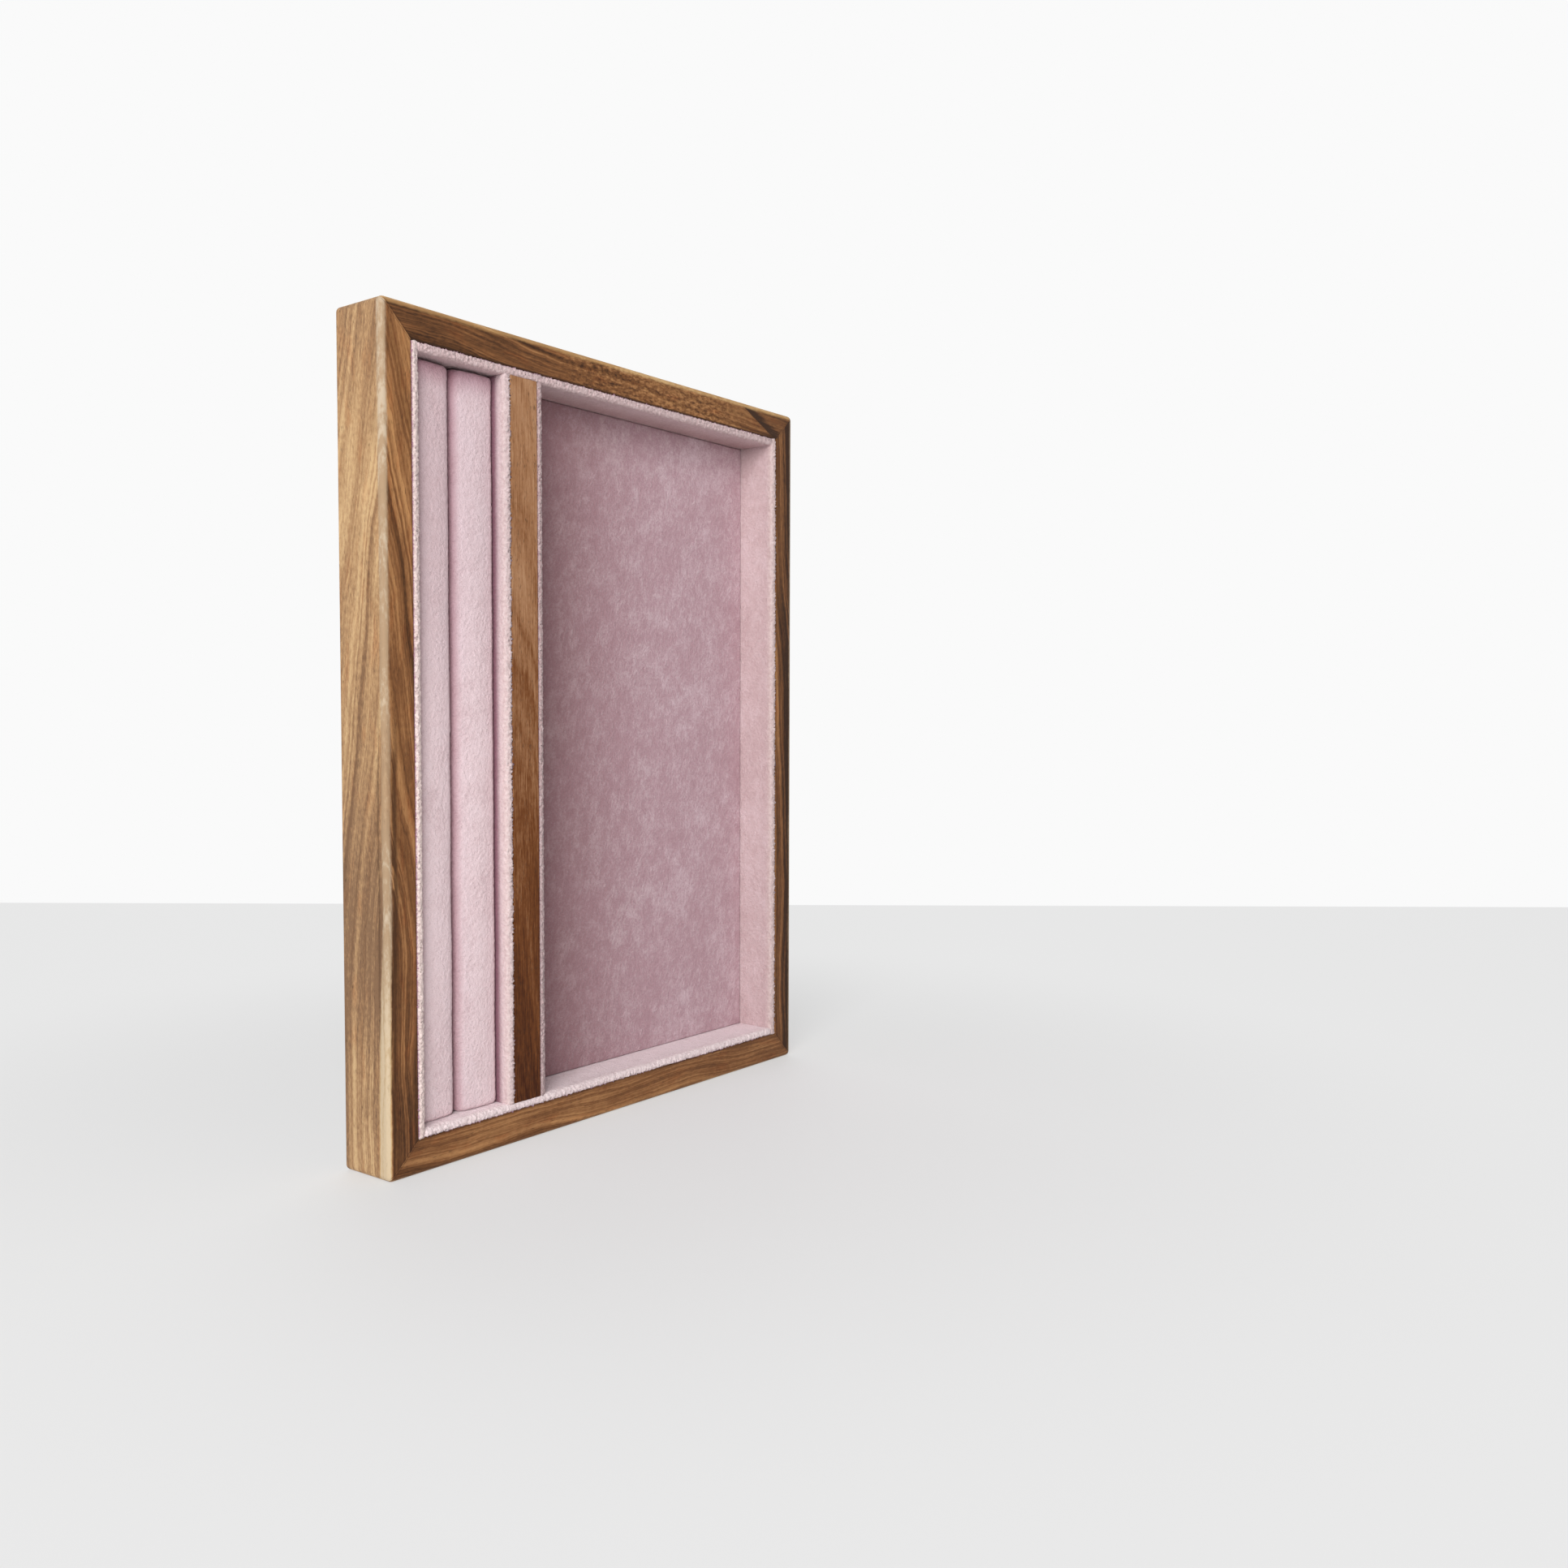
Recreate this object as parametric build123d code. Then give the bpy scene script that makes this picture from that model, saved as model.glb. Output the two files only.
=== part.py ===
from build123d import *

import os

# Jewelry display tray, standing on its short edge with the open side towards -Y. Sizes are in millimetres.
# X runs across the tray, Y from the open front to the back, Z up. The origin is the middle of the bottom edge.
# A mitred wood frame holds a pinned back panel. Velvet-wrapped cards line its walls and floor. A wood divider
# parts a channel with two padded ring rolls from a flat compartment for necklaces and bracelets.

# Overall size
TRAY_WIDTH = 260.0
TRAY_HEIGHT = 340.0
TRAY_DEPTH = 28.0

# Wood frame
RAIL_WIDTH = 14.2
FRONT_ARRIS = 2.2  # radius of the worn outer edge round the front
BACK_ARRIS = 0.8
INNER_ARRIS = 0.7
CORNER_RADIUS = 2.5  # outer corners, seen from the front
REBATE_WIDTH = 7.0  # ledge that the back panel is pinned to

# Splines glued across the mitres
SPLINE_THICKNESS = 3.0
SPLINE_WIDTH = 8.0
SPLINE_LENGTH = 16.0
SPLINE_END_CLEARANCE = 0.25
SPLINE_FRONT_COVER = 5.0  # wood left in front of the slot

# Back panel and the felt over it
PANEL_THICKNESS = 3.5
PANEL_CLEARANCE = 0.25
FELT_THICKNESS = 1.2
FELT_INSET = 0.3  # the felt lies this far inside the back face
FELT_BORDER = 0.5  # the felt is cut this much smaller than the panel

# Panel pins and divider screws, both driven from the back
PIN_WIDTH = 1.2
PIN_THICKNESS = 1.0
PIN_LENGTH = 12.0
PIN_HEAD_WIDTH = 2.0
PIN_HEAD_HEIGHT = 0.5
PINS_PER_LONG_RAIL = 4
PINS_PER_SHORT_RAIL = 3
PIN_CORNER_DISTANCE = 40.0
SCREW_DIAMETER = 3.0
SCREW_HEAD_DIAMETER = 5.6
SCREW_HEAD_HEIGHT = 1.8
SCREW_LENGTH = 16.0
SCREW_TIP = 3.0
SCREW_COUNT = 3
SCREW_END_DISTANCE = 32.0  # from the divider's ends to the outer screws
FASTENER_CLEARANCE = 0.05

# Velvet-wrapped cards
VELVET = 0.8  # cloth with its pile pressed down
LINING_CARD = 1.6
LIP_RADIUS = 1.4  # rounded front edge of a wrapped card
LIP_RECESS = 0.1
FLOOR_CARD = 1.7
PAD_CLEARANCE = 0.2
PAD_EDGE_RADIUS = 0.6

# Divider
DIVIDER_WIDTH = 15.0
DIVIDER_ARRIS = 0.5

# Ring rolls
ROLL_COUNT = 2
ROLL_WIDTH = 21.6
ROLL_HEIGHT = 15.6
ROLL_WALL_DROP = 0.7  # how far the top falls from its crest towards the channel's wall
ROLL_GROOVE_DROP = 1.3  # and towards the groove between the rolls
ROLL_WALL_SHOULDER = 2.2
ROLL_GROOVE_SHOULDER = 4.2
ROLL_END_RADIUS = 1.8
ROLL_CLEARANCE = 0.1
ROLL_BOTTOM_CLEARANCE = 0.1
ROLL_TOP_CLEARANCE = 1.0  # a standing tray's rolls settle on their lower ends
RING_CARD = 2.0

# Planes and places that follow from the sizes above
FRONT_Y = -TRAY_DEPTH / 2
BACK_Y = TRAY_DEPTH / 2
FELT_BACK_Y = BACK_Y - FELT_INSET
PANEL_BACK_Y = FELT_BACK_Y - FELT_THICKNESS
PANEL_FRONT_Y = PANEL_BACK_Y - PANEL_THICKNESS
MID_Z = TRAY_HEIGHT / 2
OPENING_WIDTH = TRAY_WIDTH - 2 * RAIL_WIDTH
OPENING_HEIGHT = TRAY_HEIGHT - 2 * RAIL_WIDTH
LINING = LINING_CARD + 2 * VELVET
WELL_WIDTH = OPENING_WIDTH - 2 * LINING
WELL_HEIGHT = OPENING_HEIGHT - 2 * LINING
WELL_LEFT = -WELL_WIDTH / 2
WELL_BOTTOM = RAIL_WIDTH + LINING
LIP_Y = FRONT_Y + LIP_RECESS
CHANNEL_WIDTH = ROLL_COUNT * ROLL_WIDTH + (ROLL_COUNT + 1) * ROLL_CLEARANCE
CHANNEL_RIGHT = WELL_LEFT + CHANNEL_WIDTH
DIVIDER_LEFT = CHANNEL_RIGHT + LINING
DIVIDER_X = DIVIDER_LEFT + DIVIDER_WIDTH / 2
COMPARTMENT_LEFT = DIVIDER_LEFT + DIVIDER_WIDTH + LINING
COMPARTMENT_WIDTH = WELL_LEFT + WELL_WIDTH - COMPARTMENT_LEFT


def block(x_size, y_from, y_to, z_size, x=0.0, z=MID_Z):
    """A box centred on x and z, from y_from to y_to."""
    return Pos(x, (y_from + y_to) / 2, z) * Box(x_size, y_to - y_from, z_size)


def spread(first, last, count):
    """Evenly spaced places from first to last."""
    if count == 1:
        return [(first + last) / 2]
    return [first + (last - first) * i / (count - 1) for i in range(count)]


def pin_places():
    """The x and z of each panel pin, on the middle of the rebate's ledge."""
    x = OPENING_WIDTH / 2 + REBATE_WIDTH / 2
    low = RAIL_WIDTH - REBATE_WIDTH / 2
    high = TRAY_HEIGHT - low
    reach = TRAY_WIDTH / 2 - PIN_CORNER_DISTANCE
    heights = spread(PIN_CORNER_DISTANCE, TRAY_HEIGHT - PIN_CORNER_DISTANCE, PINS_PER_LONG_RAIL)
    places = [(side * x, z) for side in (-1, 1) for z in heights]
    places += [(x, z) for z in (low, high) for x in spread(-reach, reach, PINS_PER_SHORT_RAIL)]
    return places


def screw_places():
    """The z of each divider screw."""
    low = WELL_BOTTOM + SCREW_END_DISTANCE
    return spread(low, TRAY_HEIGHT - low, SCREW_COUNT)


def panel_pin(x, z, clearance=0.0):
    """A T-headed wire pin flush with the panel's back, or with a clearance the hole that it sits in."""
    thickness = PIN_THICKNESS + 2 * clearance
    tip_y = PANEL_BACK_Y - PIN_LENGTH - clearance
    shank = block(PIN_WIDTH + 2 * clearance, tip_y, PANEL_BACK_Y, thickness, x, z)
    head_y = PANEL_BACK_Y - PIN_HEAD_HEIGHT
    return shank + block(PIN_HEAD_WIDTH + 2 * clearance, head_y, PANEL_BACK_Y, thickness, x, z)


def divider_screw(z, clearance=0.0):
    """A countersunk wood screw flush with the panel's back, or with a clearance the hole that it sits in."""
    shank = SCREW_DIAMETER / 2 + clearance
    head = SCREW_HEAD_DIAMETER / 2 + clearance
    tip = SCREW_LENGTH + clearance
    profile = Polyline(
        (0, 0),
        (head, 0),
        (shank, SCREW_HEAD_HEIGHT),
        (shank, SCREW_LENGTH - SCREW_TIP),
        (0, tip),
        close=True,
    )
    turned = revolve(make_face(profile), Axis.Y)
    return Pos(DIVIDER_X, PANEL_BACK_Y, z) * Rot(0, 0, 180) * turned


# Each corner of the frame: its name, the signs that point outwards, and the mitre's turn about Y
CORNERS = {
    "bottom_left": (-1, -1, 45),
    "bottom_right": (1, -1, -45),
    "top_right": (1, 1, 45),
    "top_left": (-1, 1, -45),
}


def corner_spline(corner, clearance=0.0):
    """The tongue across one mitre, or with a clearance its slot."""
    x_sign, z_sign, turn = CORNERS[corner]
    x = x_sign * (TRAY_WIDTH - RAIL_WIDTH) / 2
    z = MID_Z + z_sign * (TRAY_HEIGHT - RAIL_WIDTH) / 2
    y = FRONT_Y + SPLINE_FRONT_COVER + SPLINE_LENGTH / 2
    tongue = Box(SPLINE_WIDTH + 2 * clearance, SPLINE_LENGTH + 2 * clearance, SPLINE_THICKNESS)
    return Pos(x, y, z) * Rot(0, turn, 0) * tongue


def whole_frame():
    """The frame before its mitres: a rounded rectangle with the opening and the back rebate."""
    body = block(TRAY_WIDTH, FRONT_Y, BACK_Y, TRAY_HEIGHT)
    body = fillet(body.edges().filter_by(Axis.Y), CORNER_RADIUS)
    body -= block(OPENING_WIDTH, FRONT_Y, BACK_Y, OPENING_HEIGHT)
    front = body.faces().sort_by(Axis.Y)[0]
    body = fillet(front.outer_wire().edges(), FRONT_ARRIS)
    front = body.faces().sort_by(Axis.Y)[0]
    body = fillet(front.inner_wires()[0].edges(), INNER_ARRIS)
    back = body.faces().sort_by(Axis.Y)[-1]
    body = fillet(back.outer_wire().edges(), BACK_ARRIS)
    rebate_x = OPENING_WIDTH + 2 * REBATE_WIDTH
    rebate_z = OPENING_HEIGHT + 2 * REBATE_WIDTH
    return body - block(rebate_x, PANEL_FRONT_Y, BACK_Y, rebate_z)


def mitred_rails():
    """The four rails, cut from the frame along its mitres, with spline slots and pin holes."""
    frame = whole_frame()
    for corner in CORNERS:
        frame -= corner_spline(corner, SPLINE_END_CLEARANCE)
    for x, z in pin_places():
        frame -= panel_pin(x, z, FASTENER_CLEARANCE)
    reach = 2 * RAIL_WIDTH  # how far the cutting wedge runs inwards, past the rail
    outline = [(sx * TRAY_WIDTH / 2, MID_Z + sz * TRAY_HEIGHT / 2, sx, sz) for sx, sz, _ in CORNERS.values()]
    rails = {}
    for i, side in enumerate(("bottom", "right", "top", "left")):
        ax, az, asx, asz = outline[i]
        bx, bz, bsx, bsz = outline[(i + 1) % len(outline)]
        wedge = Polyline(
            (ax, az),
            (bx, bz),
            (bx - bsx * reach, bz - bsz * reach),
            (ax - asx * reach, az - asz * reach),
            close=True,
        )
        cutter = extrude(Plane.XZ * make_face(wedge), TRAY_DEPTH, both=True)
        rails[f"rail_{side}"] = frame & cutter
    return rails


def back_panel():
    """The board in the rebate, drilled for the pins and countersunk for the screws."""
    x_size = OPENING_WIDTH + 2 * (REBATE_WIDTH - PANEL_CLEARANCE)
    z_size = OPENING_HEIGHT + 2 * (REBATE_WIDTH - PANEL_CLEARANCE)
    board = block(x_size, PANEL_FRONT_Y, PANEL_BACK_Y, z_size)
    for x, z in pin_places():
        board -= panel_pin(x, z, FASTENER_CLEARANCE)
    for z in screw_places():
        board -= divider_screw(z, FASTENER_CLEARANCE)
    return board


def base_felt():
    """The felt sheet that covers the panel, its pins and screws."""
    border = PANEL_CLEARANCE + FELT_BORDER
    x_size = OPENING_WIDTH + 2 * (REBATE_WIDTH - border)
    z_size = OPENING_HEIGHT + 2 * (REBATE_WIDTH - border)
    return block(x_size, PANEL_BACK_Y, FELT_BACK_Y, z_size)


def wrapped_strip(length):
    """One wall lining, along Z and centred: the stiff card and the velvet folded over its front edge."""
    whole = block(LINING, LIP_Y, PANEL_FRONT_Y, length, z=0)
    front = whole.faces().sort_by(Axis.Y)[0]
    whole = fillet(front.edges().filter_by(Axis.Z), LIP_RADIUS)
    card = block(LINING_CARD, LIP_Y + VELVET, PANEL_FRONT_Y, length, z=0)
    return card, whole - card


def wall_linings():
    """The linings of the frame's four walls and of both sides of the divider."""
    side_x = (WELL_WIDTH + LINING) / 2
    end_z = (WELL_HEIGHT + LINING) / 2
    left_of_divider = DIVIDER_LEFT - LINING / 2
    right_of_divider = DIVIDER_LEFT + DIVIDER_WIDTH + LINING / 2
    upright, across = Rot(0, 0, 0), Rot(0, 90, 0)
    placed = {
        "left": (Pos(-side_x, 0, MID_Z) * upright, OPENING_HEIGHT),
        "right": (Pos(side_x, 0, MID_Z) * upright, OPENING_HEIGHT),
        "top": (Pos(0, 0, MID_Z + end_z) * across, WELL_WIDTH),
        "bottom": (Pos(0, 0, MID_Z - end_z) * across, WELL_WIDTH),
        "divider_left": (Pos(left_of_divider, 0, MID_Z) * upright, WELL_HEIGHT),
        "divider_right": (Pos(right_of_divider, 0, MID_Z) * upright, WELL_HEIGHT),
    }
    linings = {}
    for side, (place, length) in placed.items():
        card, velvet = wrapped_strip(length)
        linings[f"lining_card_{side}"] = place * card
        linings[f"lining_velvet_{side}"] = place * velvet
    return linings


def divider_bar():
    """The wood divider between the linings, drilled from behind for its screws."""
    bar = block(DIVIDER_WIDTH, FRONT_Y, PANEL_FRONT_Y, WELL_HEIGHT, x=DIVIDER_X)
    front = bar.faces().sort_by(Axis.Y)[0]
    bar = fillet(front.edges().filter_by(Axis.Z), DIVIDER_ARRIS)
    for z in screw_places():
        bar -= divider_screw(z, FASTENER_CLEARANCE)
    return bar


def floor_pad():
    """The flat compartment's floor: a card with velvet over its face and down its edges."""
    x = COMPARTMENT_LEFT + COMPARTMENT_WIDTH / 2
    x_size = COMPARTMENT_WIDTH - 2 * PAD_CLEARANCE
    z_size = WELL_HEIGHT - 2 * PAD_CLEARANCE
    card_y = PANEL_FRONT_Y - FLOOR_CARD
    whole = block(x_size, card_y - VELVET, PANEL_FRONT_Y, z_size, x=x)
    whole = fillet(whole.faces().sort_by(Axis.Y)[0].edges(), PAD_EDGE_RADIUS)
    card = block(x_size - 2 * VELVET, card_y, PANEL_FRONT_Y, z_size - 2 * VELVET, x=x)
    return card, whole - card


def roll_form(inset, length):
    """A padded roll along Z with its flat base on Y = 0, smaller all round by an inset: a crowned top with a tight
    shoulder towards the wall at -X and a full one towards the groove at +X, and rounded ends."""
    half, height = ROLL_WIDTH / 2 - inset, ROLL_HEIGHT - inset
    wall_side, groove_side = height - ROLL_WALL_DROP, height - ROLL_GROOVE_DROP
    lean = (ROLL_GROOVE_DROP / ROLL_WALL_DROP) ** 0.5
    crest = half * (1 - lean) / (1 + lean)
    base = Polyline((half, -groove_side), (half, 0), (-half, 0), (-half, -wall_side))
    crown = ThreePointArc((-half, -wall_side), (crest, -height), (half, -groove_side))
    section = make_face(Curve() + [base, crown])
    wall_corner, groove_corner = section.vertices().sort_by(Axis.Y)[:2].sort_by(Axis.X)
    section = fillet(wall_corner, ROLL_WALL_SHOULDER - inset)
    groove_corner = section.vertices().sort_by_distance(groove_corner)[0]
    section = fillet(groove_corner, ROLL_GROOVE_SHOULDER - inset)
    roll = extrude(section, length / 2 - inset, both=True)
    ends = roll.faces().sort_by(Axis.Z)
    rims = [e for end in (ends[0], ends[-1]) for e in end.edges() if e.center().Y < -height / 4]
    return fillet(rims, ROLL_END_RADIUS - inset)


def ring_rolls():
    """The foam rolls, each under its velvet sleeve, side by side on one card."""
    card_y = PANEL_FRONT_Y - RING_CARD
    length = WELL_HEIGHT - ROLL_BOTTOM_CLEARANCE - ROLL_TOP_CLEARANCE
    z = WELL_BOTTOM + ROLL_BOTTOM_CLEARANCE + length / 2
    card_width = CHANNEL_WIDTH - 2 * ROLL_CLEARANCE
    card_x = WELL_LEFT + CHANNEL_WIDTH / 2
    pieces = {"ring_roll_card": block(card_width, card_y, PANEL_FRONT_Y, length, x=card_x, z=z)}
    whole = roll_form(0.0, length)
    core = roll_form(VELVET, length)
    for i in range(ROLL_COUNT):
        x = WELL_LEFT + ROLL_CLEARANCE + ROLL_WIDTH / 2 + i * (ROLL_WIDTH + ROLL_CLEARANCE)
        turn = 180 if i == ROLL_COUNT - 1 else 0  # the last roll leans on the channel's other wall
        place = Pos(x, card_y, z) * Rot(0, turn, 0)
        pieces[f"ring_roll_foam_{i + 1}"] = place * core
        pieces[f"ring_roll_velvet_{i + 1}"] = place * (whole - core)
    return pieces


def fasteners():
    """The pins and the screws, each kind as one group of separate solids."""
    pins = [panel_pin(x, z) for x, z in pin_places()]
    screws = [divider_screw(z) for z in screw_places()]
    return {"panel_pins": Compound(children=pins), "divider_screws": Compound(children=screws)}


def tray():
    """Every piece of the tray by its name."""
    pieces = mitred_rails()
    for corner in CORNERS:
        pieces[f"corner_spline_{corner}"] = corner_spline(corner)
    pieces["back_panel"] = back_panel()
    pieces["base_felt"] = base_felt()
    pieces.update(wall_linings())
    pieces["divider_bar"] = divider_bar()
    pieces["floor_card"], pieces["floor_velvet"] = floor_pad()
    pieces.update(ring_rolls())
    pieces.update(fasteners())
    return pieces


os.makedirs("parts", exist_ok=True)
for name, piece in tray().items():
    export_step(piece, f"parts/{name}.step")
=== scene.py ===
import math

import bpy
import numpy as np
from bpy.props import FloatProperty, FloatVectorProperty, IntProperty, PointerProperty
from mathutils import Matrix, Vector, noise


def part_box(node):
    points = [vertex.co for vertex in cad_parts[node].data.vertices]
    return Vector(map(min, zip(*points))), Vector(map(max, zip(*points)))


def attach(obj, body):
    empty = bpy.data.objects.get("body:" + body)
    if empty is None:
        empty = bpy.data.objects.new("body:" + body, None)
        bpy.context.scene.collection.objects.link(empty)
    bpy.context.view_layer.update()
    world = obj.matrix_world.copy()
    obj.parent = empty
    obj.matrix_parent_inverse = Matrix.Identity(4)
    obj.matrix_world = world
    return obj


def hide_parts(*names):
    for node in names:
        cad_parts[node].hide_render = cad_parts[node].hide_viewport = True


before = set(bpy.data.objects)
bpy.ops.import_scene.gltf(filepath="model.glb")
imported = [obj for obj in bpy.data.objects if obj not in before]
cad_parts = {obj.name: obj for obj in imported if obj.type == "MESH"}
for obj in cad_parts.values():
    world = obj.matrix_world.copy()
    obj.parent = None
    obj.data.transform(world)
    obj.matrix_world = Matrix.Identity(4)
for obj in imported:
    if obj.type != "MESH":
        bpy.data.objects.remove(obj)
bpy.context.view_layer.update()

bl_info = {
    "name": "Jewelry display tray",
    "version": (1, 0, 0),
    "blender": (4, 5, 0),
    "location": "View3D > Sidebar > Tray",
    "description": "Wood and velvet for a mitred display tray with padded ring rolls",
    "category": "Object",
}

MM = 0.001  # the tables below and the shaders count in millimetres


def srgb(red, green, blue):
    """A colour as it looks on screen, 0 to 255, in the linear values that Blender holds."""
    parts = (part / 255 for part in (red, green, blue))
    return tuple(c / 12.92 if c <= 0.04045 else ((c + 0.055) / 1.055) ** 2.4 for c in parts)


def colour_property(name, description, default):
    """A colour that a user can change."""
    return FloatVectorProperty(
        name=name, description=description, default=default, size=3, min=0, max=1, subtype="COLOR"
    )


def size_property(name, description, millimetres):
    """A length that a user can change."""
    return FloatProperty(
        name=name,
        description=description,
        default=millimetres * MM,
        min=0,
        precision=5,
        subtype="DISTANCE",
        unit="LENGTH",
    )

def amount_property(name, description, default, unit="NONE"):
    """A plain amount that a user can change."""
    return FloatProperty(name=name, description=description, default=default, min=0, unit=unit)

def tinted(colour, tone):
    """A colour multiplied by another, part by part."""
    return tuple(part * share for part, share in zip(colour, tone))


# Sizes and colours


class WoodFinish(bpy.types.PropertyGroup):
    """The oiled wood of the frame and the divider."""

    # The outer sides are painted lighter and the front darker: partly the wood's own tones, partly painted
    # light on the side and painted shade on the front
    side_dark: colour_property("Side streaks", "Dark streaks of the outer sides", srgb(124, 93, 68))
    side_mid: colour_property("Side ground", "Ground colour of the outer sides", srgb(167, 131, 94))
    side_light: colour_property("Side light", "Lightest wood of the outer sides", srgb(197, 164, 122))
    front_dark: colour_property("Front streaks", "Dark streaks of the front face", srgb(58, 36, 22))
    front_mid: colour_property("Front ground", "Ground colour of the front face", srgb(124, 82, 50))
    front_light: colour_property("Front light", "Lightest wood of the front face", srgb(180, 132, 86))
    # The pale edge colour is partly rubbed wood and partly a painted highlight where light grazes the rounded
    # edge
    arris: colour_property("Worn edge", "Pale wood where the front edge is rubbed", srgb(184, 165, 142))
    # This pore colour also paints the shadow line beside the velvet
    pore_and_seam_shade: colour_property("Pores", "Open pores of the grain", srgb(60, 40, 26))
    band: size_property("Band width", "Width of the broad growth bands", 5.2)
    line: size_property("Line width", "Width of the fine lines between them", 1.5)


class VelvetFinish(bpy.types.PropertyGroup):
    """The pink velvet of the linings, the floor and the ring rolls."""

    lining: colour_property("Lining", "Velvet of the wall linings", srgb(203, 181, 181))
    # The lip colour is a painted highlight where the folded edge's fibres catch the light
    lip: colour_property("Lip", "Pale pile where a lining folds over its front edge", srgb(209, 190, 185))
    roll: colour_property("Roll", "Velvet of the ring rolls", srgb(224, 202, 205))
    floor: colour_property("Floor", "Velvet of the flat compartment", srgb(186, 153, 161))
    nap: colour_property("Nap", "Pile brushed towards the light", srgb(228, 208, 214))
    shade: colour_property("Shade", "Pile brushed away from the light", srgb(160, 118, 126))
    pile: size_property("Pile unevenness", "How far tufts of the pile stand out", 0.12)
    lip_pile: size_property("Lip unevenness", "How far tufts stand out along a folded edge", 0.3)
    lip_swell: size_property("Lip swell", "How much the pile thickens a folded edge", 0.35)
    tuft: size_property("Tuft size", "Half the distance from one tuft to the next", 0.9)
    fringe: size_property("Fringe", "How far loose pile stands out where a folded edge meets the wood", 0.62)


class RollFilling(bpy.types.PropertyGroup):
    """How the ring rolls are stuffed."""

    pressure: amount_property("Pressure", "How hard the filling presses", 1.0)
    stiffness: amount_property("Stiffness", "How hard the sleeve is to bend", 3.0)
    frames: IntProperty(name="Frames", description="Steps of the cloth simulation", default=20, min=1)
    spacing: size_property("Mesh spacing", "Distance between the points of the sleeve", 1.5)
    slack: size_property("Slack", "How much smaller the sleeve is before it is filled", 0.1)


class StageSettings(bpy.types.PropertyGroup):
    """The floor, the light and the backdrop."""

    floor: colour_property("Floor", "Colour of the table top", srgb(234, 234, 234))
    backdrop: colour_property("Backdrop", "Colour behind the table", srgb(250, 250, 250))
    ambient: amount_property("Ambient", "Light from all round", 0.22)
    key: amount_property("Key light", "Power of the large side light", 36.5, "POWER")
    back: amount_property("Back light", "Power of the light from behind", 15.0, "POWER")


# Shaders


class Value:
    """A number, vector or colour that a shader node gives, for use in expressions."""

    def __init__(self, graph, socket):
        self.graph, self.socket = graph, socket

    def __add__(self, other):
        return self.graph.math("ADD", self, other)

    def __radd__(self, other):
        return self.graph.math("ADD", other, self)

    def __sub__(self, other):
        return self.graph.math("SUBTRACT", self, other)

    def __rsub__(self, other):
        return self.graph.math("SUBTRACT", other, self)

    def __mul__(self, other):
        return self.graph.math("MULTIPLY", self, other)

    def __rmul__(self, other):
        return self.graph.math("MULTIPLY", other, self)

    def __truediv__(self, other):
        return self.graph.math("DIVIDE", self, other)

    def __rtruediv__(self, other):
        return self.graph.math("DIVIDE", other, self)

    def __abs__(self):
        return self.graph.math("ABSOLUTE", self)

    def over(self, low, high):
        """0 below low, 1 above high and smooth between, or the other way round where low is the larger."""
        if low > high:
            return 1 - self.over(high, low)
        return self.graph.node(
            "ShaderNodeMapRange",
            {"interpolation_type": "SMOOTHSTEP"},
            {"Value": self, "From Min": low, "From Max": high},
        )


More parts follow.
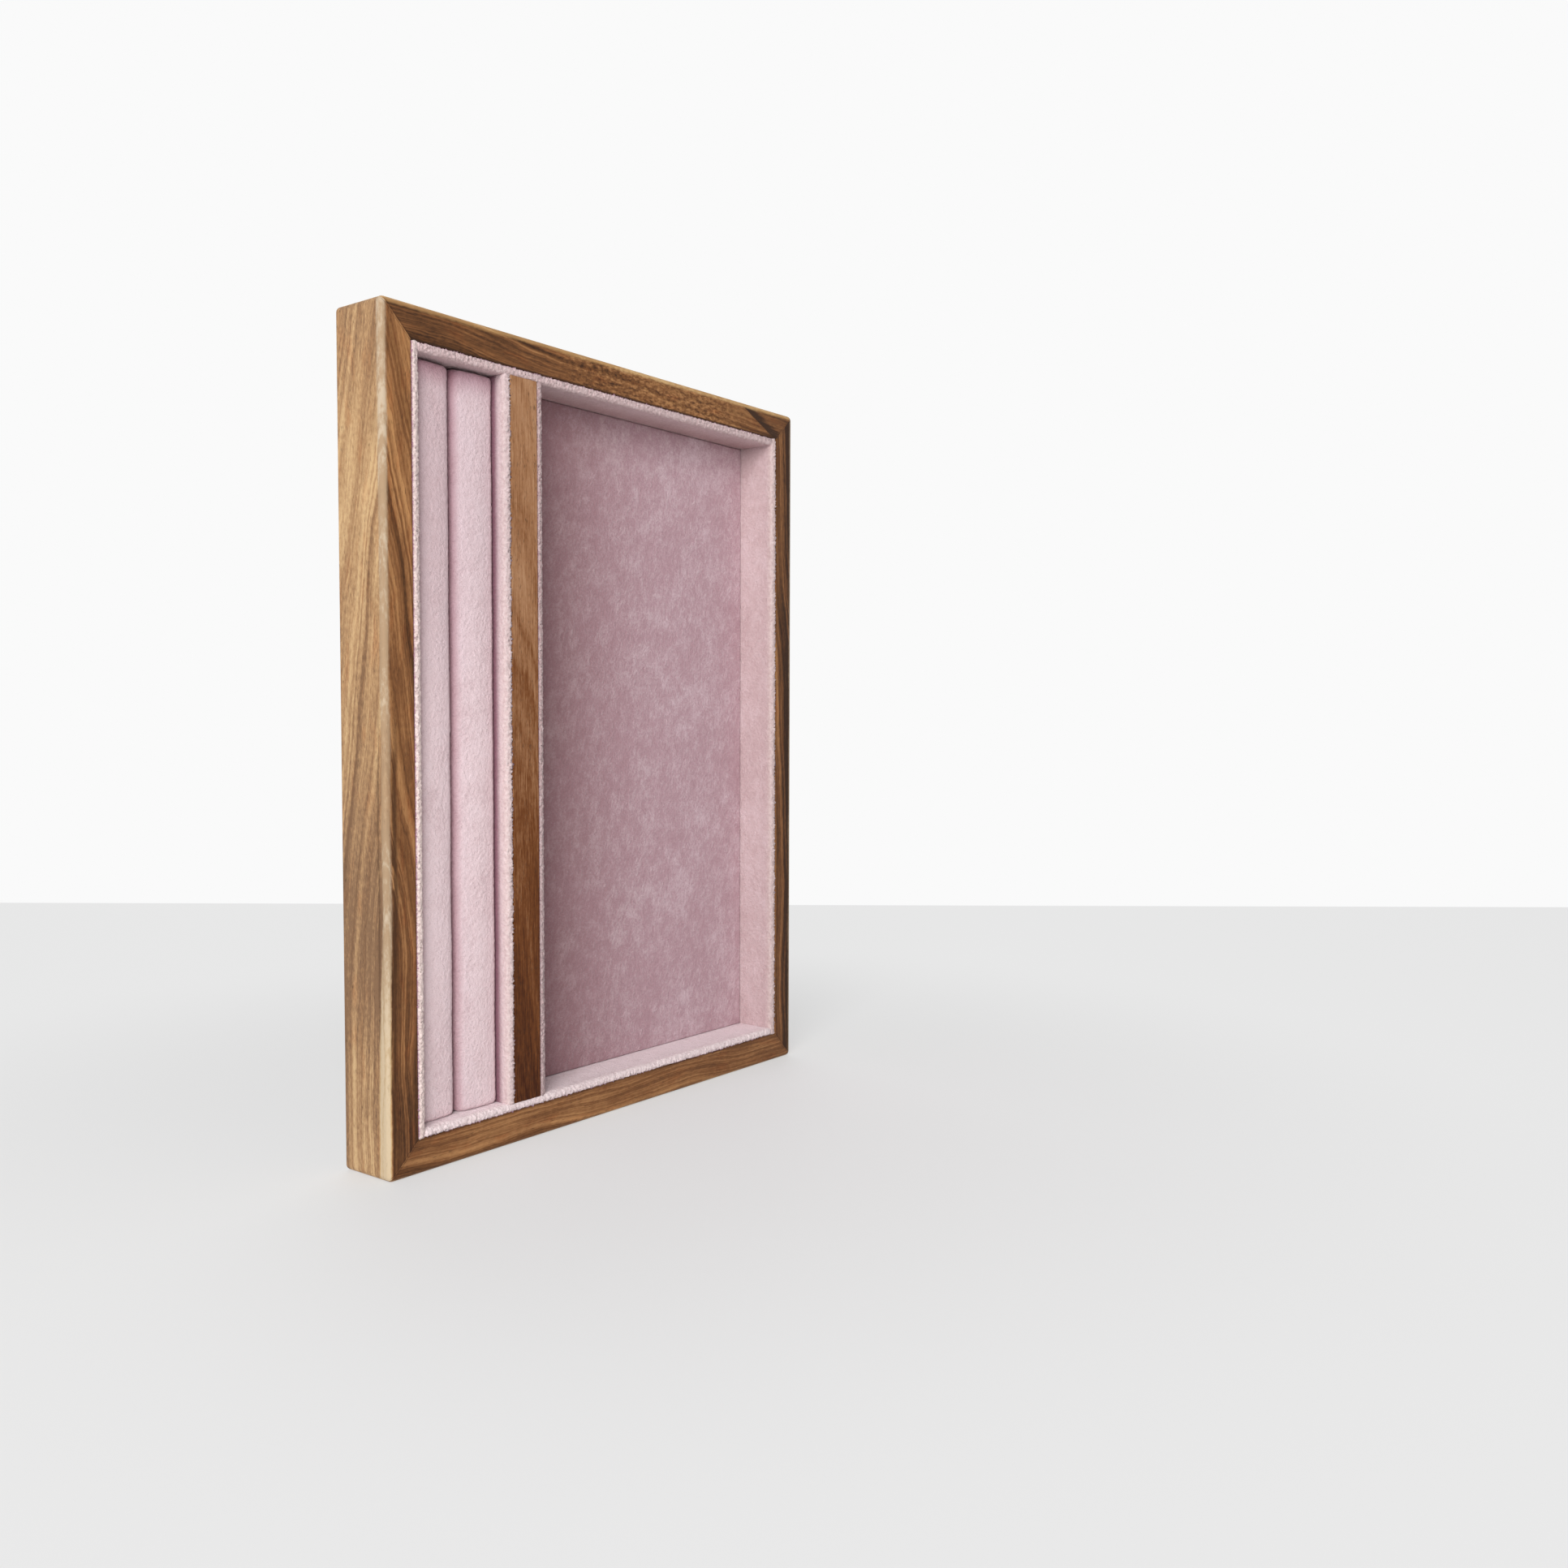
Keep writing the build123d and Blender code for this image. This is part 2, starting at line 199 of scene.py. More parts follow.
class Graph:
    """The node tree of one material or of the world."""

    COLUMNS, STEP = 12, 200

    def __init__(self, owner):
        owner.use_nodes = True
        self.tree = owner.node_tree
        self.tree.nodes.clear()

    def node(self, kind, settings=None, sockets=None, output=0):
        """Adds a node: its settings first, then the values or links of its sockets."""
        node = self.tree.nodes.new(kind)
        count = len(self.tree.nodes)
        node.location = (count % self.COLUMNS * self.STEP, -(count // self.COLUMNS) * self.STEP)
        for key, setting in (settings or {}).items():
            if key == "stops":
                self.set_stops(node.color_ramp.elements, setting)
            elif key == "blend":
                node.color_ramp.interpolation = setting
            else:
                setattr(node, key, setting)
        for key, given in (sockets or {}).items():
            socket = node.inputs[key]
            if isinstance(given, Value):
                self.tree.links.new(given.socket, socket)
            elif socket.type == "RGBA":
                socket.default_value = (*given[:3], 1)
            else:
                socket.default_value = given
        return Value(self, node.outputs[output]) if node.outputs else None

    @staticmethod
    def set_stops(elements, stops):
        """Gives a colour ramp its stops."""
        while len(elements) < len(stops):
            elements.new(1)
        for element, (place, colour) in zip(elements, stops):
            element.position = place
            element.color = (colour,) * 3 + (1,) if isinstance(colour, (int, float)) else (*colour, 1)

    def math(self, operation, *values):
        return self.node("ShaderNodeMath", {"operation": operation}, dict(enumerate(values)))

    def vector(self, operation, *values):
        """Vector Math. A length comes from its second output."""
        output = 1 if operation == "LENGTH" else 0
        return self.node("ShaderNodeVectorMath", {"operation": operation}, dict(enumerate(values)), output)

    def join(self, x, y, z):
        return self.node("ShaderNodeCombineXYZ", {}, {"X": x, "Y": y, "Z": z})

    def mix(self, factor, first, second, blend="MIX"):
        """A colour from first to second."""
        settings = {"data_type": "RGBA", "blend_type": blend}
        return self.node("ShaderNodeMix", settings, {0: factor, 6: first, 7: second}, output=2)

    def ramp(self, factor, stops, blend="LINEAR"):
        """A colour, or a number written as a grey, for a factor from 0 to 1."""
        return self.node("ShaderNodeValToRGB", {"stops": stops, "blend": blend}, {"Fac": factor})

    def noise(self, place, detail=2.0, roughness=0.5, distortion=0.0):
        """Noise in space about 0, mostly between -0.5 and 0.5. Its lumps are one unit of place apart."""
        sockets = {"Vector": place, "Scale": 1.0, "Detail": detail, "Roughness": roughness}
        sockets["Distortion"] = distortion
        return self.node("ShaderNodeTexNoise", {"noise_dimensions": "3D"}, sockets) - 0.5

    def lumps(self, place, size, detail=2.0, roughness=0.5, distortion=0.0, offset=0.0):
        """Noise in lumps of a size in millimetres. The place and the size are three numbers each, and an offset
        moves the noise along the first of them."""
        first, second, third = (at / length for at, length in zip(place, size))
        if offset:
            first = first + offset
        return self.noise(self.join(first, second, third), detail, roughness, distortion)

    def bands(self, place, detail=1.0, roughness=0.5):
        """Noise along one number, about 0."""
        sockets = {"W": place, "Scale": 1.0, "Detail": detail, "Roughness": roughness}
        return self.node("ShaderNodeTexNoise", {"noise_dimensions": "1D"}, sockets) - 0.5

    def place(self):
        """The point on the object as three numbers in millimetres: x, y and z."""
        point = self.node("ShaderNodeTexCoord", output=3)
        scaled = self.vector("MULTIPLY", point, (1 / MM,) * 3)
        parts = self.node("ShaderNodeSeparateXYZ", {}, {0: scaled})
        outputs = parts.socket.node.outputs
        return tuple(Value(self, outputs[i]) for i in range(3))

    def seen(self):
        """1 where the camera looks, straight or in a reflection, and 0 for the light between surfaces."""
        outputs = self.node("ShaderNodeLightPath").socket.node.outputs
        rays = [Value(self, outputs[f"Is {ray} Ray"]) for ray in ("Camera", "Glossy", "Transmission")]
        return self.math("MAXIMUM", self.math("MAXIMUM", rays[0], rays[1]), rays[2])

    def bump(self, height, distance, strength=1.0):
        """A normal from a height of 0 to 1 that stands for a distance."""
        return self.node(
            "ShaderNodeBump", {}, {"Strength": strength, "Distance": distance, "Height": height}
        )

    def finish(self, **sockets):
        """Ends a material in one Principled shader."""
        named = {key.replace("_", " "): given for key, given in sockets.items()}
        shader = self.node("ShaderNodeBsdfPrincipled", {}, named)
        self.node("ShaderNodeOutputMaterial", {}, {"Surface": shader})


def material(name):
    """A new material and its graph."""
    made = bpy.data.materials.new(name)
    return made, Graph(made)


SHARP_ANGLE = 32  # degrees between two flat faces from which their edge stays sharp

def dress(node, made):
    """Gives a CAD node a material and smooth curves between its flat faces."""
    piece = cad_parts[node]
    piece.data.materials.clear()
    piece.data.materials.append(made)
    piece.data.set_sharp_from_angle(angle=math.radians(SHARP_ANGLE))


# Each rail: whether it stands, the side of the tray that it is on, where its pith lies from the front
# outer edge (across, back), how much its grain leans, the places between which the lean sets in, and its
# own number, which sets its noise apart. Rows of stops, each a share of the length and a value, say what
# changes along it: worn_and_lit is how rubbed the front edge is and how strong its painted highlight is,
# tones and side_tones how light the front and the outer side are, foot how far sapwood spreads, coarse how
# open the grain is and vein how dark the lines beside the rubbed edge are. inner is how much paler the
# front gets towards the well, shaded_seam how dark the painted shadow line beside the velvet is, gilt what
# the rubbed edge's colour is multiplied by, and heart where a dark wedge starts, how it slants and how long it
# is.
RAILS = {
    "rail_left": dict(
        upright=True, outer=-1, pith=(-46, -40), lean=0.14, lean_from=(70, 120), number=3, shaded_seam=0.3,
        worn_and_lit=((0, 1.0), (0.3, 0.95), (0.44, 0.45), (0.6, 0.62), (0.75, 0.8), (1, 1.0)),
        vein=((0.0, 0.3), (0.08, 0.8), (0.4, 0.95), (0.46, 0.9), (0.58, 0.0)),
        foot=((0, 1.0), (0.1, 0.9), (0.3, 0.0)),
        tones=((0, 0.35), (0.2, 0.5), (0.5, 0.52), (0.75, 0.6), (1, 0.62)),
        side_tones=((0, 0.64), (0.28, 0.13), (0.55, 0.48), (0.8, 0.66), (1, 0.36)),
    ),
    "rail_right": dict(
        upright=True, outer=1, pith=(40, -52), lean=-0.05, lean_from=(60, 200), number=8, inner=0.36,
        worn_and_lit=((0, 0.5), (1, 0.5)),
        tones=((0, 0.28), (0.5, 0.28), (0.75, 0.2), (1, 0.16)),
        side_tones=((0, 0.74), (1, 0.74)),
    ),
    "rail_top": dict(
        upright=False, outer=1, pith=(50, -40), lean=-0.05, lean_from=(-200, -100), number=14, shaded_seam=0.85,
        heart=(84.0, 2.2, 15.0), worn_and_lit=((0, 0.4), (0.4, 0.5), (0.56, 1.0), (0.88, 1.0), (1, 0.7)),
        gilt=(1.3, 1.08, 0.72),
        tones=((0, 0.28), (0.2, 0.32), (0.45, 0.44), (0.62, 0.58), (0.82, 0.56), (0.94, 0.4), (1, 0.36)),
        side_tones=((0, 0.68), (1, 0.68)),
        coarse=((0.3, 0.0), (0.42, 0.9), (0.74, 1.0), (0.88, 0.1)),
    ),
    "rail_bottom": dict(
        upright=False, outer=-1, pith=(-60, -36), lean=0.02, lean_from=(-200, -100), number=21, shaded_seam=0.5,
        worn_and_lit=((0, 0.0), (1, 0.0)),
        tones=((0, 0.42), (0.12, 0.58), (0.25, 0.62), (0.5, 0.56), (1, 0.52)),
        side_tones=((0, 0.6), (1, 0.6)),
    ),
}


# Sizes of the wood's marks in millimetres: along the grain, across it and in depth
SLOW_SWAY, QUICK_SWAY = (95, 30, 30), (24, 6, 6)
CLOUDS, FIBRES, MOTTLE = (30, 7, 7), (10, 0.5, 0.5), (2.6, 1.2, 1.2)
PORES, PORE_CROWDS, OPEN_PORES = (2.8, 0.36, 0.36), (20, 3, 3), (1.7, 0.9, 0.9)
COARSE_LUMPS, WARM_PATCHES, SMOKY_PATCHES = (3.6, 1.7, 1.7), (16, 4, 4), (26, 7, 5)
HAIR_RINGS, STAINED_RINGS = 0.5, 4.2  # from one ring to the next
SLOW_REACH, QUICK_REACH = 9.0, 2.4  # how far the slow and the quick sway carry the rings aside

# What the wood is multiplied by in warm and smoky patches, in stained rings and where its rubbed edge is
# dull and carries less painted highlight
WARM_FRONT, WARM_SIDE = srgb(255, 196, 160), srgb(255, 214, 184)
STAINED_FRONT, STAINED_SIDE, SMOKY_SIDE = srgb(178, 170, 150), srgb(196, 178, 172), srgb(186, 172, 166)
RUBBED_UNLIT = (0.76, 0.66, 0.56)
BLEACHED_SIDE, SAPWOOD, SAPWOOD_BORDER = srgb(232, 200, 160), srgb(232, 208, 164), srgb(206, 166, 104)

# Places in millimetres between which a mark fades in. Those of the front edge count from the corner,
# below 0 on the front and above 0 on the side.
FRONT_WOOD = 0.6, -1.2
# The pale front edge, rubbed wood with a painted highlight, fades in between these places
WORN_LIT_FRONT, WORN_LIT_SIDE = (-3.0, -1.4), (3.3, 1.9)
FRONT_VEIN, FRONT_VEIN_WIDTH = -4.0, (1.7, 0.3)
SIDE_VEIN, SIDE_VEIN_WIDTH = 4.6, (0.9, 0.2)
SAPWOOD_FRONT, SAPWOOD_SIDE = 1.2, 3.4  # how far sapwood moves the worn edge's two borders
# Places from the well between which the painted shadow line beside the velvet fades in
SEAM_SHADE = 1.1, 0.5  # from the well
GLUE_LINE = 0.28, 0.08  # from the middle of a joint
DARK_REAR = 24.0, 27.5  # from the front face

def shift(number, step=17.3):
    """An offset that keeps one piece's noise apart from another's."""
    return number * step


def grain(graph, finish, along, across, depth, pith, lean, lean_from, number, coarse=0.0, cloudy=1.0):
    """The grain of a sawn piece: streaks and mottling about 0, stains and pores from 0 to 1, and a height for
    the bump. coarse is how open the pores are, and cloudy how wavy and uneven the grain is."""
    start, end = lean_from
    slope = graph.math("SMOOTH_MAX", along - (start + end) / 2, 0.0, float(end - start))
    own = shift(number)
    place = (along, across, depth)
    slow = graph.lumps(place, SLOW_SWAY, 1, offset=own) * SLOW_REACH
    quick = graph.lumps(place, QUICK_SWAY, 3, 0.6, offset=own) * QUICK_REACH
    sway = (slow + quick) * (0.3 + cloudy * 0.7)
    radius = graph.vector("LENGTH", graph.join(across - pith[0], depth - pith[1], 0.0))
    ring = radius + slope * lean + sway + own
    cloud = graph.lumps(place, CLOUDS, offset=own) * cloudy
    broad = graph.bands(ring / (finish.band / MM), 2)
    fine = graph.bands(ring / (finish.line / MM) + own, 2, 0.6) * (1 + cloud * 2.2)
    hair = graph.bands(ring / HAIR_RINGS + own, 1)
    stains = (graph.bands(ring / STAINED_RINGS + own * 2, 1) + cloud * 0.3).over(0.0, 0.3)
    fibre = graph.lumps(place, FIBRES, 3, 0.6)
    streaks = broad * 0.95 + fine * 0.85 + hair * 0.3 + fibre * 0.4 + cloud * 0.5
    mottle = graph.lumps(place, MOTTLE, 3, 0.65)
    dashes = graph.lumps(place, PORES, 1, offset=own)
    crowd = graph.lumps(place, PORE_CROWDS, 1)
    pores = (dashes + crowd * 0.35).over(0.15, 0.25)
    if not isinstance(coarse, float):
        holes = graph.lumps(place, OPEN_PORES, 2, 0.6, offset=own).over(0.08, 0.22)
        pores = graph.math("MAXIMUM", pores, holes * coarse)
    height = 0.5 + fibre * 0.5 - pores * 0.5
    return streaks, mottle, stains, pores, height


def oiled(graph, colour, roughness, streaks, height):
    """Ends a wood material in a dull oiled surface, a little smoother on the light streaks."""
    graph.finish(
        Base_Color=colour,
        Roughness=roughness - streaks * 0.12,
        Specular_IOR_Level=0.15,
        Normal=graph.bump(height, 0.12 * MM, 0.6),
    )

def rail_wood(
    node, finish, upright, outer, pith, lean, lean_from, number, worn_and_lit, tones, side_tones,
    coarse=None, foot=None, inner=0.0, shaded_seam=0.0, heart=None, vein=None, gilt=(1.0, 1.0, 1.0),
):
    """The material of one frame rail: golden outer side and dark front, partly their own tones and partly
    painted light and shade, and between them a pale rubbed edge with a painted highlight.
    """
    made, graph = material(f"{node}_wood")
    x, y, z = graph.place()
    low, high = (Vector(corner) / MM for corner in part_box(node))
    along, across = (z, x) if upright else (x, z)
    a = 0 if upright else 2
    b = 2 - a
    edge = low[a] if outer < 0 else high[a]
    inwards = across - edge if outer < 0 else edge - across  # from the outer side
    back = y - low[1]  # from the front face
    length = high[b] - low[b]
    share = (along - low[b]) / length
    rub_and_highlight = graph.ramp(share, worn_and_lit, "EASE")
    open_grain = graph.ramp(share, coarse, "EASE") if coarse else 0.0
    sapwood = graph.ramp(share, foot, "EASE") if foot else 0.0
    streaks, mottle, stains, pores, height = grain(
        graph, finish, along, across - edge, back, pith, lean, lean_from, number, open_grain
    )
    lumps = graph.lumps((along, inwards, back), COARSE_LUMPS, 3, 0.7, offset=shift(number))
    mottle = mottle + open_grain * lumps * 1.4
    rough = 0.4 + open_grain * 0.8
    front_tone = streaks * (0.95 - open_grain * 0.65) + mottle * rough + graph.ramp(share, tones, "EASE")
    front_tone = front_tone + (inwards / 7 - 1) * (inner - sapwood * 0.22)
    if heart:  # a dark wedge of heartwood that runs from the outer edge to the well
        start, slant, reach = heart
        into = along - start - inwards * slant + streaks * 3
        front_tone = front_tone - into.over(-0.6, 0.8) * into.over(reach, reach * 0.2) * 0.5
    side_tone = streaks * (0.84 + sapwood * 0.5) + mottle * 1.15 + graph.ramp(share, side_tones, "EASE")
    side_tone = side_tone - back.over(*DARK_REAR) * sapwood * 0.5
    front_stops = ((0.1, finish.front_dark), (0.5, finish.front_mid), (0.95, finish.front_light))
    side_stops = ((0.1, finish.side_dark), (0.5, finish.side_mid), (0.9, finish.side_light))
    spot = (along, across, back)
    warm = graph.lumps(spot, WARM_PATCHES, offset=shift(number, 5.1)).over(0.0, 0.3)
    smoky = graph.lumps(spot, SMOKY_PATCHES, 3, 0.6, offset=shift(number, 9.7)).over(0.02, 0.24)
    front = graph.ramp(front_tone, front_stops)
    front = graph.mix(warm * 0.35, front, WARM_FRONT, "MULTIPLY")
    front = graph.mix(stains * 0.4, front, STAINED_FRONT, "MULTIPLY")
    side = graph.ramp(side_tone, side_stops)
    side = graph.mix(warm * 0.35, side, WARM_SIDE, "MULTIPLY")
    side = graph.mix(stains * 0.6, side, STAINED_SIDE, "MULTIPLY")
    side = graph.mix(smoky * 0.42, side, SMOKY_SIDE, "MULTIPLY")
    side = graph.mix(0.03, side, BLEACHED_SIDE)
    turn = back - inwards  # above 0 on the side, below 0 on the front
    wander = graph.noise(graph.join(along / 30 + shift(number), 0.0, 0.0), 2) * 1.6
    # Here the lighter side meets the darker front, whose darkness is partly painted shade
    on_front = (turn + wander * 0.3).over(*FRONT_WOOD)
    colour = graph.mix(on_front, side, front)
    # The pale strip along the front edge: rubbed wood with a painted highlight on it
    rough_edge = graph.noise(graph.join(along / 2.5, turn / 1.2, 0.0), 2) * 0.9
    from_edge = turn + wander + rough_edge
    strip = (from_edge - sapwood * SAPWOOD_FRONT).over(*WORN_LIT_FRONT)
    strip = strip * (from_edge - sapwood * SAPWOOD_SIDE).over(*WORN_LIT_SIDE) * rub_and_highlight.over(0.0, 0.7)
    bright = tinted(finish.arris, gilt)
    wear_and_sheen = streaks + mottle * 1.2 + sapwood * 0.25 + (rub_and_highlight - 1) * 0.7
    pale = graph.mix(wear_and_sheen.over(-0.3, 0.3), tinted(bright, RUBBED_UNLIT), bright)
    pale = graph.mix(sapwood * 0.3, pale, SAPWOOD)
    pale = graph.mix(strip * (1 - strip) * sapwood * 2.6, pale, SAPWOOD_BORDER)
    colour = graph.mix(strip, colour, pale)
    if vein:  # dark lines in the grain along both borders of the worn edge
        drift = from_edge + streaks * 1.5
        line = abs(drift - FRONT_VEIN - sapwood * SAPWOOD_FRONT).over(*FRONT_VEIN_WIDTH) * 0.75
        line = line + abs(drift - SIDE_VEIN).over(*SIDE_VEIN_WIDTH) * (1 - sapwood) * 0.5
        colour = graph.mix(line * graph.ramp(share, vein, "EASE"), colour, finish.front_dark)
    colour = graph.mix(pores * (0.58 - strip * 0.45), colour, finish.pore_and_seam_shade)
    # A painted shadow line where the velvet meets the wood, and a finer dark line where the glue joint closes
    width = high[a] - low[a]
    colour = graph.mix(inwards.over(width - SEAM_SHADE[0], width - SEAM_SHADE[1]) * shaded_seam, colour, finish.pore_and_seam_shade)
    from_low, from_high = along - low[b], high[b] - along
    joint = graph.math("MINIMUM", abs(from_low - inwards), abs(from_high - inwards))
    colour = graph.mix(joint.over(*GLUE_LINE) * on_front * 0.55, colour, finish.front_dark)
    oiled(graph, colour, 0.54, streaks, height)
    return made


# The divider: how light it is from its foot to its top, and the size of its fine threads in millimetres
DIVIDER_TONES = ((0, 0.19), (0.3, 0.29), (0.36, 0.38), (0.43, 0.43), (0.6, 0.46), (0.76, 0.64), (1, 0.64))
DIVIDER_THREADS = (11, 0.42, 0.42)

def divider_wood(finish):
    """The material of the divider: straight grain, light at the top and red-brown at the foot."""
    made, graph = material("divider_bar_wood")
    x, y, z = graph.place()
    low, high = (Vector(corner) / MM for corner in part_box("divider_bar"))
    streaks, mottle, _, pores, height = grain(
        graph, finish, z, x - low[0], y - low[1], (2.0, -34.0), 0.055, (-60, 60), 31, cloudy=0.3
    )
    share = (z - low[2]) / (high[2] - low[2])
    light = graph.ramp(share, DIVIDER_TONES, "EASE")
    thread = graph.lumps((z, x, y), DIVIDER_THREADS, 3, 0.7)
    shade = streaks * 0.42 + mottle * 0.3 + thread * 0.7 + light
    colour = graph.ramp(
        shade,
        (
            (0.08, srgb(58, 24, 6)),
            (0.35, srgb(110, 63, 29)),
            (0.62, srgb(158, 114, 80)),
            (0.95, srgb(190, 150, 116)),
        ),
    )
    colour = graph.mix(pores * 0.75, colour, finish.pore_and_seam_shade)
    oiled(graph, colour, 0.52, streaks, height)
    return made


# Sizes of the velvet's marks in millimetres along x, y and z, and how much its brush strokes lean
WIDE_MARKS, PATCHES, BRUSH_STROKES = (30, 30, 36), (7, 7, 9), (1.8, 1.8, 3.2)
SPECKS, GRAINS, PILE_HAIRS = (0.7, 0.7, 0.7), (1.3, 1.3, 1.3), (0.34, 0.34, 0.44)
BRUSH_LEAN = 0.25
# A folded edge gets a painted highlight from this far behind the fold, strongest here
PALE_FROM, PALE_BY = 5.0, 0.5  # how far behind a fold the pile starts to pale, and where it is palest

def velvet(name, finish, ground, lip=None, strokes=1.0, contrast=1.0, shaded=()):
    """Velvet with a nap of brush marks. lip gives the depth of a folded edge, in millimetres, from which the
    pile pales as a painted highlight, and the colour there. Each of shaded gives an axis, the two places
    between which painted shade sets in, and the colour that it is multiplied by there."""
    made, graph = material(name)
    place = graph.place()
    x, y, z = place
    wide = graph.lumps(place, WIDE_MARKS)
    patches = graph.lumps(place, PATCHES)
    brush_marks_and_shade = graph.lumps((x - z * BRUSH_LEAN, y, z), BRUSH_STROKES, 2, 0.55, 0.4)
    speck = graph.lumps(place, SPECKS, 2, 0.6)
    grains = graph.lumps(place, GRAINS, 2, 0.6)
    nap = (wide * 0.6 + patches * 0.6 + brush_marks_and_shade * 0.9 * strokes + speck * 0.5 + grains * 0.6) * contrast
    colour = graph.mix(nap.over(-0.15, 0.6) * 0.7, ground, finish.nap)
    colour = graph.mix(nap.over(0.15, -0.6) * 0.55, colour, finish.shade)
    if lip is not None:
        lip_from, pale = lip
        # Painted highlight along the folded edge
        lip_highlight = (y + speck * 3).over(lip_from + PALE_FROM, lip_from + PALE_BY)
        tone = graph.mix(grains.over(0.2, -0.3) * 0.42, pale, finish.shade)
        colour = graph.mix(lip_highlight * 0.8, colour, graph.mix(grains.over(0.0, 0.35) * 0.5, tone, finish.nap))
    # Painted shade: the colour is multiplied down between each pair of places in shaded
    for axis, start, end, tone in shaded:
        at = {"x": x, "y": y, "z": z}[axis] + wide * (end - start) * 0.25
        colour = graph.mix(at.over(start, end), colour, tone, "MULTIPLY")
    pile = graph.lumps(place, PILE_HAIRS, 2, 0.6)
    graph.finish(
        Base_Color=colour,
        Roughness=0.92,
        Specular_IOR_Level=0.12,
        Sheen_Weight=0.3,
        Sheen_Roughness=0.45,
        Sheen_Tint=(*srgb(255, 238, 242), 1),
        Normal=graph.bump(0.5 + pile * 0.5 + brush_marks_and_shade * 0.3 + grains * 1.2, 0.55 * MM, 0.8),
    )
    return made


def plain_stuff(name, colour, grain_mm, contrast, roughness, bump_mm, stretch=(1, 1, 1), metallic=0.0):
    """Card, board, foam, felt or steel: one colour broken up by its own fine structure."""
    made, graph = material(name)
    place = graph.place()
    size = tuple(grain_mm * s for s in stretch)
    fine = graph.lumps(place, size, 3, 0.65)
    wide = graph.lumps(place, tuple(s * 9 for s in size))
    change = (fine + wide * 0.6) * contrast
    dark = tuple(c * 0.55 for c in colour)
    pale = tuple(min(1, c * 1.35 + 0.02) for c in colour)
    tint = graph.ramp(0.5 + change, ((0.1, dark), (0.5, colour), (0.9, pale)))
    graph.finish(
        Base_Color=tint,
        Roughness=roughness + fine * 0.15,
        Metallic=metallic,
        Normal=graph.bump(0.5 + fine, bump_mm * MM, 0.7),
    )
    return made


# Meshes


def new_piece(name, points, faces, made, replaced):
    """A mesh object in the frame, in millimetres, that stands for CAD nodes."""
    mesh = bpy.data.meshes.new(name)
    mesh.from_pydata((np.asarray(points, float) * MM).tolist(), [], faces)
    mesh.validate()
    mesh.materials.append(made)
    mesh.shade_smooth()
    piece = bpy.data.objects.new(name, mesh)
    bpy.context.scene.collection.objects.link(piece)
    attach(piece, "root")
    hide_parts(*replaced)
    return piece


def points_of(mesh):
    """The mesh's points and their normals as arrays, points in metres."""
    count = len(mesh.vertices)
    points, normals = np.zeros(count * 3), np.zeros(count * 3)
    mesh.vertices.foreach_get("co", points)
    mesh.vertex_normals.foreach_get("vector", normals)
    return points.reshape(-1, 3), normals.reshape(-1, 3)


def set_points(mesh, points):
    mesh.vertices.foreach_set("co", np.asarray(points, float).ravel())
    mesh.update()


def tufts(points, size):
    """Noise at each point, in lumps of that size: two octaves, mostly between -1 and 1."""
    coarse = [noise.noise(Vector(p)) for p in points / size]
    fine = [noise.noise(Vector(p)) for p in points / (size * 0.45) + 7.7]
    return np.array(coarse) * 1.4 + np.array(fine) * 0.6


def raise_pile(piece, height, size, lift=0.0):
    """Moves each point along its normal by a lift and by noise. Each is one value or one for each point."""
    points, normals = points_of(piece.data)
    set_points(piece.data, points + normals * (tufts(points, size) * height + lift)[:, None])


def ring_faces(rings, count, flip):
    """Quads between closed rings of count points each."""
    faces = []
    for r in range(rings - 1):
        for i in range(count):
            j = (i + 1) % count
            quad = (r * count + i, r * count + j, (r + 1) * count + j, (r + 1) * count + i)
            faces.append(quad[::-1] if flip else quad)
    return faces


def arc(centre, radius, start, end, steps):
    """Points round a centre, angles in degrees."""
    angles = np.radians(np.linspace(start, end, steps + 1))
    return [(centre[0] + radius * math.cos(t), centre[1] + radius * math.sin(t)) for t in angles]


# Linings, by the end of the CAD node's name: the axis that the strip runs along, the side that faces the
# well, how far the pile of the folded edge swells, and what the velvet's colour is multiplied by on the
# edge and on the wall, as painted light and shade, lighter on some sides and darker on others
LININGS = {
    "left": ("z", 1, 1.0, (1.42, 1.47, 1.44), (1.0, 1.0, 1.0)),
    "right": ("z", -1, 1.0, (1.0, 1.0, 1.0), (0.97, 0.93, 0.94)),
    "top": ("x", -1, 0.8, (1.02, 0.98, 1.02), (1.0, 0.97, 0.97)),
    "bottom": ("x", 1, 1.0, (1.42, 1.5, 1.58), (1.5, 1.66, 1.7)),
    "divider_left": ("z", -1, 1.0, (1.06, 1.06, 1.08), (1.14, 1.17, 1.19)),
    "divider_right": ("z", 1, 0.0, (0.72, 0.68, 0.7), (0.9, 0.86, 0.86)),
}
CLOTH = 0.8  # thickness of the velvet with its pile, in millimetres
LIP = 1.4  # radius of a lining's folded edge


LIP_STEPS = 6  # faces round each of the fold's two corners
STRIP_SPACING, WALL_SPACING = 0.5, 1.2  # between a lining's points along the strip and down its wall
CUT_REACH, CUT_BACK = 0.7, 0.15  # how near to a cut end the fold draws back, and how far

def lining_section(half, lip_y, back_y):
    """Closed outline of a lining in millimetres: outside from the hidden wall round the lip to the wall that
    shows, then inside against the card."""
    hidden = [(-half, y) for y in (back_y, back_y - 7, back_y - 15, lip_y + 3.2, lip_y + 2.2)]
    lip = arc((-half + LIP, lip_y + LIP), LIP, 180, 270, LIP_STEPS)
    lip += arc((half - LIP, lip_y + LIP), LIP, 270, 360, LIP_STEPS)
    steps = round((back_y - lip_y - LIP) / WALL_SPACING)
    shown = [(half, lip_y + LIP + (back_y - lip_y - LIP) * k / steps) for k in range(1, steps + 1)]
    inner = half - CLOTH
    inside = [(inner, back_y), (inner, lip_y + CLOTH), (-inner, lip_y + CLOTH), (-inner, back_y)]
    return np.array(hidden + lip + shown + inside), len(hidden + lip + shown)


